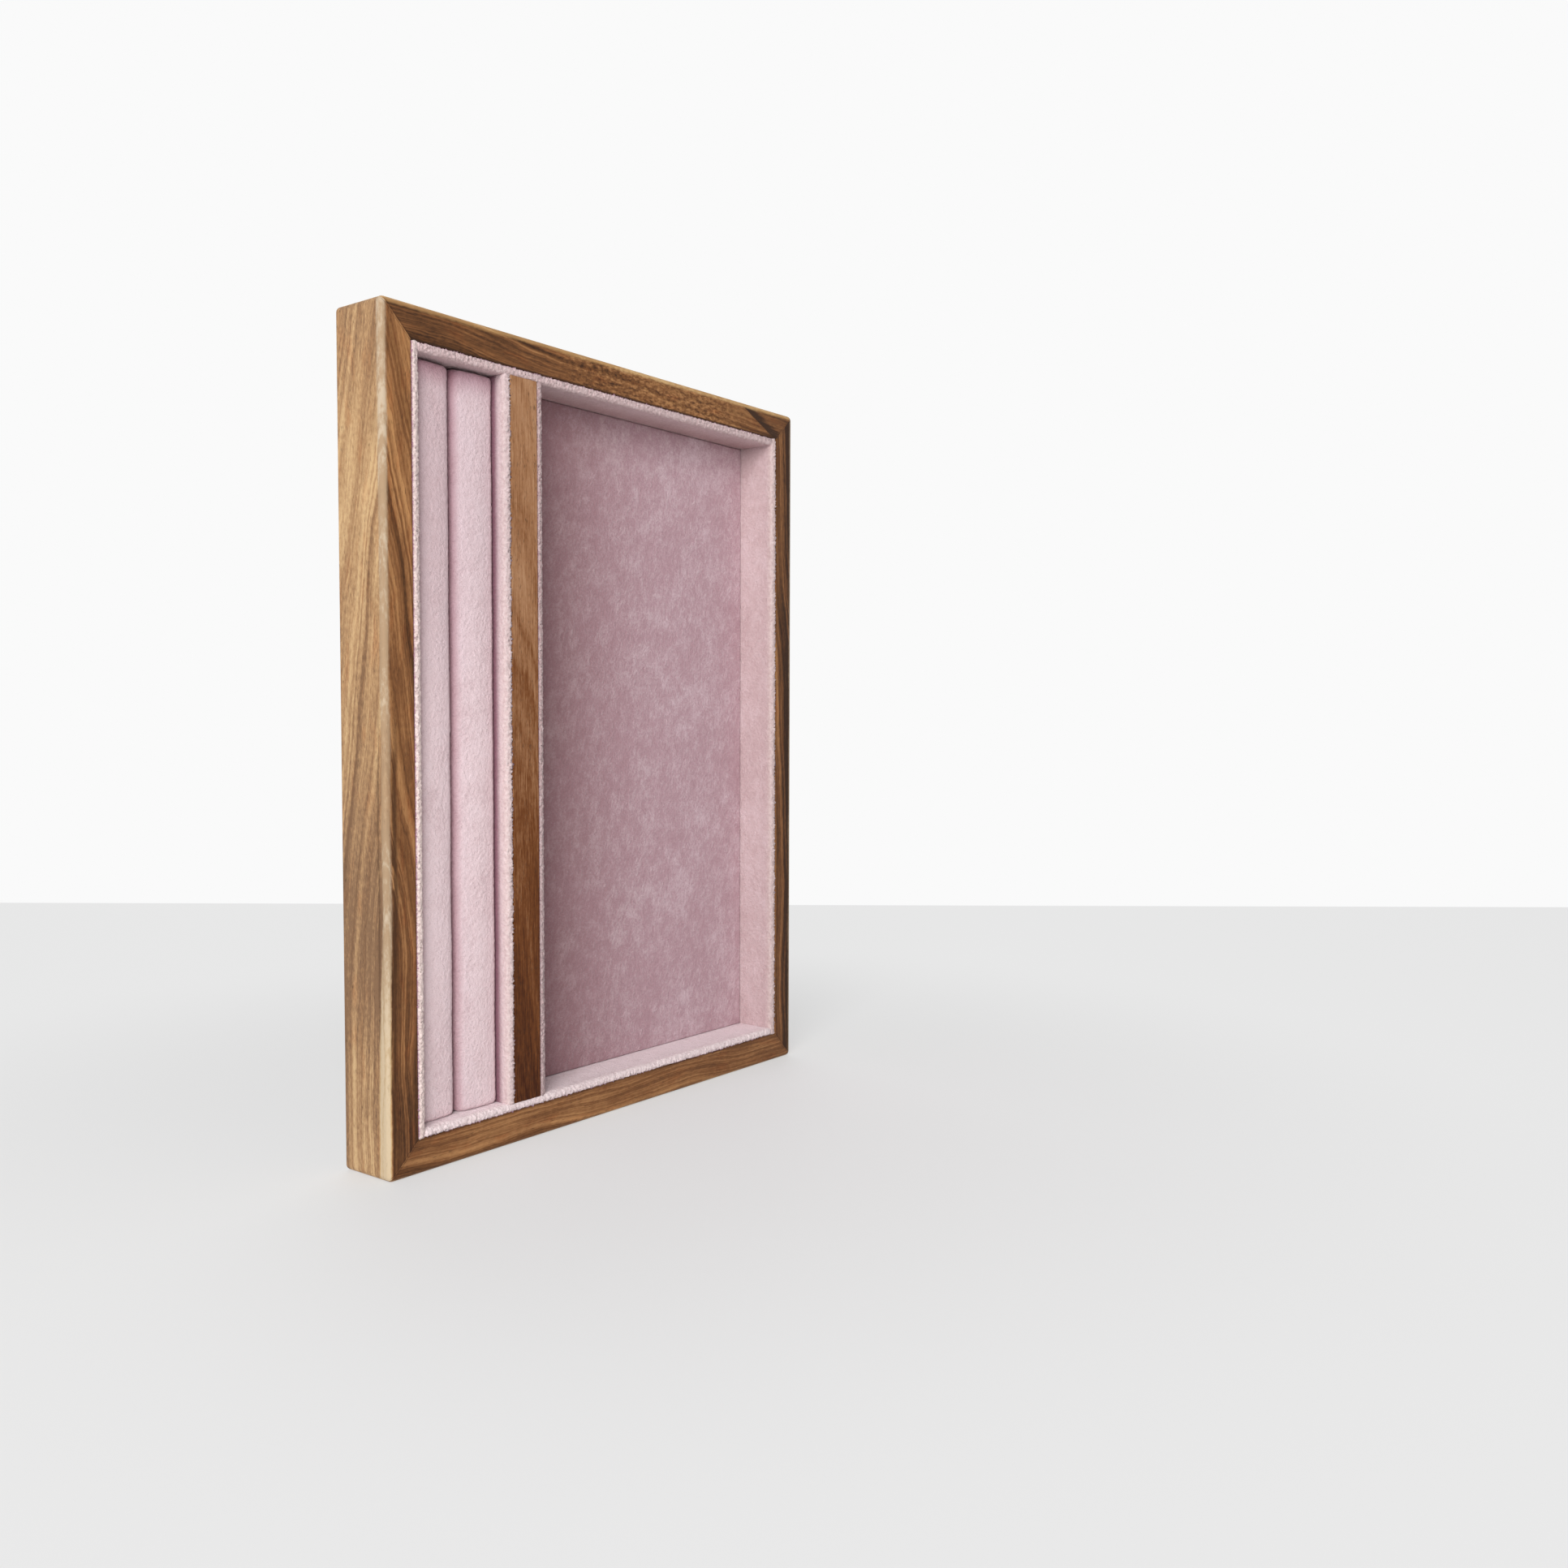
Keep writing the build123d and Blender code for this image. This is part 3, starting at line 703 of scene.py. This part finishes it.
def lining(side, finish):
    """One velvet strip folded over the front edge of its card."""
    node = f"lining_velvet_{side}"
    run, facing, swell, edge_lit_tone, wall_lit_tone = LININGS[side]
    low, high = (np.array(corner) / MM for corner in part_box(node))
    # Each side's velvet is painted lighter or darker here, as painted light and shade for how the light falls
    # on that side
    ground, pale = tinted(finish.lining, wall_lit_tone), tinted(finish.lip, edge_lit_tone)
    lip_from = low[1] - 0.5
    a, b = (0, 2) if run == "z" else (2, 0)
    shaded_seam = low[a] if facing > 0 else high[a]
    # Painted shadow on the velvet along the line where it meets the wood
    shaded = [("xyz"[a], shaded_seam + facing * 0.5, shaded_seam - facing * 0.1, (0.46, 0.3, 0.42))]
    # Painted shade: the top lining darkens towards the back, under the rail
    if side == "top":
        shaded.append(("y", lip_from + 2.0, lip_from + 19.0, (0.7, 0.56, 0.55)))
    # Painted shade in the crease where a roll meets this lining, and the channel's painted shade towards the
    # top
    if side in ("left", "divider_left"):  # the crease beside a roll
        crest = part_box("ring_roll_velvet_1")[0].y / MM
        shaded += [("y", crest - 2.6, crest + 1.8, (0.36, 0.2, 0.26)), (*UPPER_SHADE_PART, (0.88, 0.87, 0.88))]
    made = velvet(
        f"lining_pile_{side}", finish, ground, (lip_from, pale), strokes=0.5, contrast=0.75, shaded=shaded
    )
    half = (high[a] - low[a]) / 2
    section, outside = lining_section(half, low[1], high[1])
    rings = round((high[b] - low[b]) / STRIP_SPACING) + 1
    stations = np.linspace(low[b], high[b], rings)
    count = len(section)
    points = np.zeros((rings, count, 3))
    points[:, :, a] = (low[a] + high[a]) / 2 + facing * section[:, 0]
    points[:, :, 1] = section[:, 1]
    points[:, :, b] = stations[:, None]
    # The fold draws back a little at each cut end
    near_end = np.exp(-np.minimum(stations - low[b], high[b] - stations) / CUT_REACH)
    at_lip = np.clip((low[1] + 3 - section[:, 1]) / 3, 0, 1)
    points[:, :, 1] += CUT_BACK * near_end[:, None] * at_lip[None, :]
    flip = (facing > 0) == (run == "x")
    faces = ring_faces(rings, count, flip)
    first, last = tuple(range(count)), tuple(range((rings - 1) * count, rings * count))
    faces += [first if flip else first[::-1], last[::-1] if flip else last]
    piece = new_piece(f"velvet_lining_{side}", points.reshape(-1, 3), faces, made, [node])
    # Tufts stand out most along the folded edge, less on the wall, and not at all on the hidden side
    weight = np.zeros(count)
    depth = section[:outside, 1] - low[1]
    across = section[:outside, 0]
    near_back = np.clip((high[1] - section[:outside, 1]) / 3, 0, 1)
    on_wall = finish.pile * np.clip((across + half) / half, 0, 1) * near_back
    on_fold = finish.lip_pile * np.where(across < -half + 0.3, 0.5, 1)
    weight[:outside] = np.where(depth < LIP, on_fold, on_wall)
    lift = np.zeros(count)
    reach = np.where(across < 0, 1.5, 6.0)
    lift[:outside] = finish.lip_swell * swell * np.clip(1 - depth / reach, 0, 1) ** 0.7
    inner = 1 - 0.4 * np.repeat(near_end, count)
    raise_pile(piece, np.tile(weight, rings) * inner, finish.tuft, np.tile(lift, rings) * inner)
    # Loose pile stands out beside the wood
    beside_wood = np.zeros(count)
    beside_wood[:outside] = np.where((depth < LIP) & (across < LIP - half), finish.fringe, 0)
    loose = np.tile(beside_wood, rings)
    raise_pile(piece, loose * inner, finish.tuft * 0.6, loose * 0.25)
    return piece


def slab(low, high, profile, spacing, front):
    """A closed slab in millimetres: a grid for its face, one for its other face, and rings between them after
    the profile, a list of (inset, y). front is 1 where the first face looks to -Y."""
    nx = max(2, round((high[0] - low[0]) / spacing))
    nz = max(2, round((high[2] - low[2]) / spacing))
    rim = [(i, 0) for i in range(nx)] + [(nx, j) for j in range(nz)]
    rim += [(i, nz) for i in range(nx, 0, -1)] + [(0, j) for j in range(nz, 0, -1)]

    def spot(i, j, inset, y):
        x = low[0] + inset + (high[0] - low[0] - 2 * inset) * i / nx
        z = low[2] + inset + (high[2] - low[2] - 2 * inset) * j / nz
        return (x, y, z)

    points, faces, order = [], [], {}

    def turned(face, way):
        faces.append(face if way * front > 0 else face[::-1])

    for layer, way in ((0, 1), (-1, -1)):
        inset, y = profile[layer]
        for j in range(nz + 1):
            for i in range(nx + 1):
                order[layer, i, j] = len(points)
                points.append(spot(i, j, inset, y))
        for j in range(nz):
            for i in range(nx):
                corners = ((i, j), (i + 1, j), (i + 1, j + 1), (i, j + 1))
                turned(tuple(order[layer, *c] for c in corners), way)
    rings = [[order[0, *c] for c in rim]]
    for inset, y in profile[1:-1]:
        rings.append(list(range(len(points), len(points) + len(rim))))
        points += [spot(i, j, inset, y) for i, j in rim]
    rings.append([order[-1, *c] for c in rim])
    for outer, inner in zip(rings, rings[1:]):
        for k in range(len(rim)):
            m = (k + 1) % len(rim)
            turned((outer[k], inner[k], inner[m], outer[m]), 1)
    return points, faces, (nx + 1) * (nz + 1)


def roll_section(width, height, inset):
    """Outline of a roll that stands on y = 0, from its foot at the groove (+x) over its crest to its foot at
    the wall (-x)."""
    half = width / 2
    lean = math.sqrt(ROLL_GROOVE[1] / ROLL_WALL[1])
    crest = half * (1 - lean) / (1 + lean)
    curve = ROLL_WALL[1] / (half + crest) ** 2
    shoulders, ends = [], []
    for way, (radius, _) in ((1, ROLL_GROOVE), (-1, ROLL_WALL)):
        radius = max(0.5, radius - inset)
        slope = math.atan(2 * curve * abs(way * (half - radius) - crest))
        end = way * (half - radius + radius * math.sin(slope))
        top = height - curve * (end - crest) ** 2
        turned = arc((half - radius, top - radius * math.cos(slope)), radius, 0, 90 - math.degrees(slope), 10)
        shoulders.append([(way * x, y) for x, y in turned])
        ends.append(end)
    top = [(x, height - curve * (x - crest) ** 2) for x in np.linspace(ends[0], ends[1], 14)[1:-1]]
    return [(half, 0.0), *shoulders[0], *top, *shoulders[1][::-1], (-half, 0.0)]


def resample(line, count):
    """Evenly spaced points along a line."""
    line = np.array(line, float)
    steps = np.r_[0, np.cumsum(np.linalg.norm(np.diff(line, axis=0), axis=1))]
    at = np.linspace(0, steps[-1], count)
    return np.stack([np.interp(at, steps, line[:, k]) for k in range(2)], axis=1)


def roll_rings(width, height, length, spacing):
    """Closed rings of a padded roll along z, standing on y = 0: the place and the outline of each."""
    over = round((width + 2 * height) / spacing)
    under = round(width / spacing)

    def ring(inset):
        outline = resample(roll_section(width - 2 * inset, height - inset, inset), over + 1)
        across = np.linspace(-width / 2 + inset, width / 2 - inset, under + 1)
        foot = np.stack([across, np.zeros(under + 1)], axis=1)
        return np.concatenate([outline, foot[1:-1]])

    heart = np.array([0, height * 0.45])
    steps = 5
    ends = []
    for share in (0.25, 0.5, 0.75):
        ends.append((0.0, heart + (ring(ROLL_END) - heart) * share))
    for k in range(steps):
        turn = math.radians(90 * k / steps)
        ends.append((ROLL_END * (1 - math.cos(turn)), ring(ROLL_END * (1 - math.sin(turn)))))
    inner = length - 2 * ROLL_END
    count = round(inner / spacing)
    rings = [(-length / 2 + rise, outline) for rise, outline in ends]
    rings += [(-inner / 2 + inner * k / count, ring(0)) for k in range(count + 1)]
    rings += [(length / 2 - rise, outline) for rise, outline in reversed(ends)]
    return rings


def roll_mesh(node, wall, shrink, spacing):
    """Points and faces of a roll that fills a CAD node's box, less a shrink, in millimetres. wall is the side,
    -1 or 1 along x, that leans on the channel's wall."""
    low, high = (np.array(corner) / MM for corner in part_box(node))
    width, height, length = high[0] - low[0], high[1] - low[1], high[2] - low[2]
    rings = roll_rings(width - 2 * shrink, height - shrink, length - 2 * shrink, spacing)
    count = len(rings[0][1])
    middle_x, middle_z = (low[0] + high[0]) / 2, (low[2] + high[2]) / 2
    points = [
        (middle_x - wall * u, high[1] - v, middle_z + along) for along, outline in rings for u, v in outline
    ]
    flip = wall < 0
    faces = ring_faces(len(rings), count, flip)
    for ring, end, way in ((0, low[2] + shrink, flip), (len(rings) - 1, high[2] - shrink, not flip)):
        points.append((middle_x, high[1] - height * 0.45, end))
        hub = len(points) - 1
        for i in range(count):
            j = (i + 1) % count
            a, b = ring * count + i, ring * count + j
            faces.append((hub, a, b) if way else (hub, b, a))
    return points, faces


# The radius of a roll's shoulder and its fall from the crest, at the wall and at the groove, in millimetres
ROLL_WALL, ROLL_GROOVE = (2.0, 0.7), (4.2, 1.3)
ROLL_END = 1.8
# Each roll: the wall that it leans on, how much brighter its pile is painted to match the light on it,
# how far in from its left side each painted shade in its groove starts and what the pile's colour is
# multiplied by there, and the painted shade in the channel's upper part
ROLLS = (
    (-1, 1.12, ((6.0, (0.54, 0.32, 0.35)),), (0.84, 0.8, 0.81)),
    (1, 1.06, ((4.2, (0.54, 0.38, 0.42)), (14.0, (0.88, 0.87, 0.88))), (0.88, 0.87, 0.88)),
)
# Painted shade on a roll's right flank in the groove, and under the top lining at its upper end
FLANK_SHADE_RIGHT, UPPER_END_SHADE = (0.42, 0.26, 0.26), (0.62, 0.46, 0.52)
# Painted shade: the channel grows darker towards the top between these heights
UPPER_SHADE_PART = ("z", 145.0, 275.0)


def fill(piece, filling, low, high):
    """Swells a sleeve with the pressure of its filling until it fits its place. Corners in metres."""
    mesh = piece.data
    before, _ = points_of(mesh)
    held = [i for i, p in enumerate(before) if p[1] > high[1] - 0.6 * MM]
    piece.vertex_groups.new(name="held").add(held, 1.0, "REPLACE")
    cloth = piece.modifiers.new("Cloth", "CLOTH")
    settings = cloth.settings
    settings.quality = 6
    settings.mass = 0.2
    settings.tension_stiffness = settings.compression_stiffness = 30
    settings.shear_stiffness = 8
    settings.bending_stiffness = filling.stiffness
    settings.use_pressure = True
    settings.uniform_pressure_force = filling.pressure
    settings.vertex_group_mass = "held"
    settings.effector_weights.gravity = 0
    cloth.collision_settings.use_collision = False
    cloth.point_cache.frame_start = 1
    cloth.point_cache.frame_end = filling.frames
    scene = bpy.context.scene
    for step in range(1, filling.frames + 1):
        scene.frame_set(step)
    graph = bpy.context.evaluated_depsgraph_get()
    swollen = piece.evaluated_get(graph).to_mesh()
    after, _ = points_of(swollen)
    piece.evaluated_get(graph).to_mesh_clear()
    piece.modifiers.remove(cloth)
    scene.frame_set(1)
    least, most = after.min(axis=0), after.max(axis=0)
    set_points(mesh, np.array(low) + (after - least) * (np.array(high) - np.array(low)) / (most - least))


def subdivide(piece):
    """One smooth subdivision, applied."""
    modifier = piece.modifiers.new("Smooth", "SUBSURF")
    modifier.levels = modifier.render_levels = 1
    graph = bpy.context.evaluated_depsgraph_get()
    finer = bpy.data.meshes.new_from_object(piece.evaluated_get(graph))
    piece.modifiers.remove(modifier)
    old, piece.data = piece.data, finer
    bpy.data.meshes.remove(old)
    piece.data.name = piece.name


# Stage

CAMERA_PLACE = Vector((-0.4560, -0.4490, 0.1800))
CAMERA_YAW, CAMERA_PITCH, CAMERA_ROLL = 53.118, 2.663, 0.165  # degrees: from +Y to +X, downwards, clockwise
CAMERA_LENS, CAMERA_SENSOR = 31.394, 36.0  # millimetres
TABLE_EDGE = 1.328  # from the camera to the far edge of the table, in metres
TABLE_REACH = 7.0
# Share of the table that shows plain, whatever light falls on it, by the tray and far off, and the
# distances from the tray between which it changes, in millimetres
TABLE_GLOW = 0.5, 0.9
GLOW_RISE = 140, 460
TABLE_MOTTLE = 160  # millimetres


def look(place, target):
    """The place and turn of a lamp that shines at a target."""
    turn = (Vector(target) - Vector(place)).to_track_quat("-Z", "Y")
    return Matrix.Translation(place) @ turn.to_matrix().to_4x4()


def camera_place():
    """The camera's matrix from its angles."""
    yaw, pitch, roll = map(math.radians, (CAMERA_YAW, CAMERA_PITCH, CAMERA_ROLL))
    ahead = Vector((math.sin(yaw) * math.cos(pitch), math.cos(yaw) * math.cos(pitch), -math.sin(pitch)))
    level = Vector((math.cos(yaw), -math.sin(yaw), 0))
    upright = level.cross(ahead)
    right = level * math.cos(roll) + upright * math.sin(roll)
    up = upright * math.cos(roll) - level * math.sin(roll)
    turn = Matrix((right, up, -ahead)).transposed().to_4x4()
    return Matrix.Translation(CAMERA_PLACE) @ turn


def lamp(name, place, target, width, power):
    """A large soft lamp that doesn't show itself."""
    data = bpy.data.lights.new(name, "AREA")
    data.shape, data.size, data.energy = "SQUARE", width, power
    made = bpy.data.objects.new(name, data)
    made.matrix_world = look(place, target)
    made.visible_camera = made.visible_glossy = False
    bpy.context.scene.collection.objects.link(made)
    return made


class TRAY_OT_stage(bpy.types.Operator):
    """Makes the table, the backdrop, the lamps and the camera"""

    bl_idname = "tray.stage"
    bl_label = "Stage"

    def execute(self, context):
        stage = context.scene.tray_stage
        self.table(stage)
        self.backdrop(context.scene, stage)
        middle = (0, 0, 0.15)
        lamp("key_light", (-1.42, -0.98, 0.84), middle, 1.1, stage.key)
        lamp("back_light", (1.2, 1.3, 1.1), middle, 2.0, stage.back)
        data = bpy.data.cameras.new("camera")
        data.lens, data.sensor_width = CAMERA_LENS, CAMERA_SENSOR
        data.clip_start, data.clip_end = 0.01, 50
        camera = bpy.data.objects.new("camera", data)
        camera.matrix_world = camera_place()
        context.scene.collection.objects.link(camera)
        context.scene.camera = camera
        context.scene.view_settings.view_transform = "Standard"
        return {"FINISHED"}

    def table(self, stage):
        """A plain table top whose far edge crosses the view level."""
        yaw = math.radians(CAMERA_YAW)
        ahead, side = Vector((math.sin(yaw), math.cos(yaw), 0)), Vector((math.cos(yaw), -math.sin(yaw), 0))
        foot = Vector((CAMERA_PLACE.x, CAMERA_PLACE.y, 0))
        corners = [
            foot + ahead * far + side * across
            for far, across in (
                (TABLE_EDGE, -TABLE_REACH),
                (TABLE_EDGE, TABLE_REACH),
                (-TABLE_REACH, TABLE_REACH),
                (-TABLE_REACH, -TABLE_REACH),
            )
        ]
        mesh = bpy.data.meshes.new("table_top")
        mesh.from_pydata([tuple(c) for c in corners], [], [(0, 3, 2, 1)])
        made, graph = material("table_laminate")
        x, y, z = graph.place()
        mottle = graph.lumps((x, y, z), (TABLE_MOTTLE,) * 3)
        tints = (tinted(stage.floor, (bright,) * 3) for bright in (1.06, 1.08))
        colour = graph.mix(0.5 + mottle * 0.25, *tints)
        lit = graph.node(
            "ShaderNodeBsdfPrincipled", {}, {"Base Color": colour, "Roughness": 0.6, "Specular IOR Level": 0.2}
        )
        plain = graph.node("ShaderNodeEmission", {}, {"Color": stage.floor, "Strength": 1.0})
        near, far = TABLE_GLOW
        apart = graph.vector("LENGTH", graph.join(x, y, 0.0)).over(*GLOW_RISE)
        share = graph.seen() * (near + apart * (far - near))
        shown = graph.node("ShaderNodeMixShader", {}, {0: share, 1: lit, 2: plain})
        graph.node("ShaderNodeOutputMaterial", {}, {"Surface": shown})
        mesh.materials.append(made)
        top = bpy.data.objects.new("table_top", mesh)
        bpy.context.scene.collection.objects.link(top)

    def backdrop(self, scene, stage):
        """The world: plain white to the camera and in reflections, soft light for the rest."""
        scene.world = bpy.data.worlds.new("studio")
        graph = Graph(scene.world)
        soft = graph.node("ShaderNodeBackground", {}, {"Color": (1, 1, 1), "Strength": stage.ambient})
        white = graph.node("ShaderNodeBackground", {}, {"Color": stage.backdrop, "Strength": 1.0})
        both = graph.node("ShaderNodeMixShader", {}, {0: graph.seen(), 1: soft, 2: white})
        graph.node("ShaderNodeOutputWorld", {}, {"Surface": both})


# Pieces


class TRAY_OT_frame(bpy.types.Operator):
    """Finishes the four mitred rails and the splines in their corners"""

    bl_idname = "tray.frame"
    bl_label = "Wood frame"

    def execute(self, context):
        finish = context.scene.tray_wood
        for node, facts in RAILS.items():
            dress(node, rail_wood(node, finish, **facts))
        spline = plain_stuff("spline_wood", srgb(176, 136, 96), 0.5, 0.9, 0.6, 0.08, (1, 8, 1))
        for corner in ("bottom_left", "bottom_right", "top_right", "top_left"):
            dress(f"corner_spline_{corner}", spline)
        return {"FINISHED"}


class TRAY_OT_divider(bpy.types.Operator):
    """Finishes the divider bar"""

    bl_idname = "tray.divider"
    bl_label = "Divider"

    def execute(self, context):
        dress("divider_bar", divider_wood(context.scene.tray_wood))
        return {"FINISHED"}


class TRAY_OT_back(bpy.types.Operator):
    """Finishes the back panel and its fasteners and lays the felt over them"""

    bl_idname = "tray.back"
    bl_label = "Back"

    def execute(self, context):
        dress("back_panel", plain_stuff("panel_fibreboard", srgb(134, 100, 70), 0.7, 1.1, 0.8, 0.06))
        steel = plain_stuff("pin_steel", srgb(176, 172, 166), 0.3, 0.4, 0.35, 0.01, (1, 6, 1), metallic=1.0)
        dress("panel_pins", steel)
        zinc = plain_stuff("screw_steel", srgb(190, 184, 160), 0.4, 0.4, 0.32, 0.01, metallic=1.0)
        dress("divider_screws", zinc)
        low, high = (np.array(corner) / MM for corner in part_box("base_felt"))
        soft = 0.3
        profile = [
            (soft, high[1]),
            (soft * 0.3, high[1] - soft * 0.3),
            (0, high[1] - soft),
            (0, low[1] + 0.2),
            (0.1, low[1]),
        ]
        points, faces, face_points = slab(low, high, profile, 2.5, -1)
        felt = plain_stuff("base_felt_wool", srgb(92, 72, 66), 0.6, 1.2, 0.95, 0.25)
        piece = new_piece("felt_base", points, faces, felt, ["base_felt"])
        height = np.zeros(len(points))
        height[:face_points] = 0.06 * MM
        raise_pile(piece, height, 3 * MM)
        return {"FINISHED"}


class TRAY_OT_linings(bpy.types.Operator):
    """Wraps the stiff cards of the walls in velvet"""

    bl_idname = "tray.linings"
    bl_label = "Wall linings"

    def execute(self, context):
        finish = context.scene.tray_velvet
        card = plain_stuff("stiff_card", srgb(168, 158, 144), 0.4, 0.7, 0.9, 0.04)
        for side in LININGS:
            dress(f"lining_card_{side}", card)
            lining(side, finish)
        for node in ("floor_card", "ring_roll_card"):
            dress(node, card)
        return {"FINISHED"}


class TRAY_OT_compartment(bpy.types.Operator):
    """Covers the flat compartment's floor with velvet"""

    bl_idname = "tray.compartment"
    bl_label = "Flat compartment"

    def execute(self, context):
        finish = context.scene.tray_velvet
        low, high = (np.array(corner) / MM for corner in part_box("floor_velvet"))
        soft = 0.6
        face, card_face, back = low[1], low[1] + CLOTH, high[1]
        angles = np.radians((0, 30, 60, 90))
        turn = [(soft * (1 - math.sin(t)), face + soft * (1 - math.cos(t))) for t in angles]
        profile = turn + [(0, back), (CLOTH, back), (CLOTH, card_face)]
        points, faces, face_points = slab(low, high, profile, 1.5, 1)
        # Painted shade on the floor beside the divider, darkest at its left end
        brush_marks_and_shade = ("x", low[0] + 110.0, low[0] - 10.0, (0.53, 0.43, 0.41))
        made = velvet("compartment_pile", finish, finish.floor, strokes=0.7, shaded=[brush_marks_and_shade])
        piece = new_piece("velvet_floor", points, faces, made, ["floor_velvet"])
        height = np.zeros(len(points))
        height[:face_points] = finish.pile
        raise_pile(piece, height, finish.tuft * 2.4)
        return {"FINISHED"}


class TRAY_OT_ring_rolls(bpy.types.Operator):
    """Fills the two velvet sleeves that hold the rings"""

    bl_idname = "tray.ring_rolls"
    bl_label = "Ring rolls"

    def execute(self, context):
        finish, filling = context.scene.tray_velvet, context.scene.tray_filling
        foam = plain_stuff("roll_foam", srgb(226, 214, 178), 0.6, 0.8, 0.95, 0.2)
        for number, (wall, bright, flank_shades, upper_shade) in enumerate(ROLLS, 1):
            sleeve, core = f"ring_roll_velvet_{number}", f"ring_roll_foam_{number}"
            low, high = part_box(sleeve)
            left, right = low.x / MM, high.x / MM
            # Painted shade on the roll: in its grooves, under the top lining at its upper end and in the
            # channel's upper part
            painted_shades = [("x", left + reach, left - 0.5, tone) for reach, tone in flank_shades]
            painted_shades += [
                ("x", right - 3.0, right + 0.4, FLANK_SHADE_RIGHT),
                ("z", high.z / MM - 13.0, high.z / MM + 1.0, UPPER_END_SHADE),
                (*UPPER_SHADE_PART, upper_shade),
            ]
            ground = tuple(c * bright for c in finish.roll)
            made = velvet(f"roll_{number}_pile", finish, ground, strokes=0.4, contrast=0.8, shaded=painted_shades)
            points, faces = roll_mesh(sleeve, wall, filling.slack / MM, filling.spacing / MM)
            piece = new_piece(f"velvet_roll_{number}", points, faces, made, [sleeve])
            raise_pile(piece, 0.16 * MM, 34 * MM)
            fill(piece, filling, low, high)
            filled, outward = points_of(piece.data)
            subdivide(piece)
            raise_pile(piece, finish.pile, finish.tuft * 1.5, lift=0.06 * MM)
            stuffing = filled / MM - outward * CLOTH
            inside = new_piece(f"foam_roll_{number}", stuffing, faces, foam, [core])
        return {"FINISHED"}


class TRAY_PT_sidebar(bpy.types.Panel):
    """Lists the tray's steps and the sizes and colours that they use"""

    bl_idname = "TRAY_PT_sidebar"
    bl_label = "Display tray"
    bl_space_type = "VIEW_3D"
    bl_region_type = "UI"
    bl_category = "Tray"

    def draw(self, context):
        for step in STEPS:
            self.layout.operator(step.bl_idname)
        for name in SETTINGS:
            box = self.layout.box()
            group = getattr(context.scene, name)
            for key in group.bl_rna.properties.keys():
                if key not in ("rna_type", "name"):
                    box.prop(group, key)


STEPS = (
    TRAY_OT_stage,
    TRAY_OT_frame,
    TRAY_OT_divider,
    TRAY_OT_back,
    TRAY_OT_linings,
    TRAY_OT_compartment,
    TRAY_OT_ring_rolls,
)
SETTINGS = {
    "tray_wood": WoodFinish,
    "tray_velvet": VelvetFinish,
    "tray_filling": RollFilling,
    "tray_stage": StageSettings,
}
CLASSES = (*SETTINGS.values(), *STEPS, TRAY_PT_sidebar)


def register():
    for made in CLASSES:
        bpy.utils.register_class(made)
    for name, group in SETTINGS.items():
        setattr(bpy.types.Scene, name, PointerProperty(type=group))


def unregister():
    for name in SETTINGS:
        delattr(bpy.types.Scene, name)
    for made in reversed(CLASSES):
        bpy.utils.unregister_class(made)


def main():
    """Builds the whole tray."""
    register()
    bpy.ops.tray.stage()
    bpy.ops.tray.frame()
    bpy.ops.tray.divider()
    bpy.ops.tray.back()
    bpy.ops.tray.linings()
    bpy.ops.tray.compartment()
    bpy.ops.tray.ring_rolls()


if __name__ == "__main__":
    main()
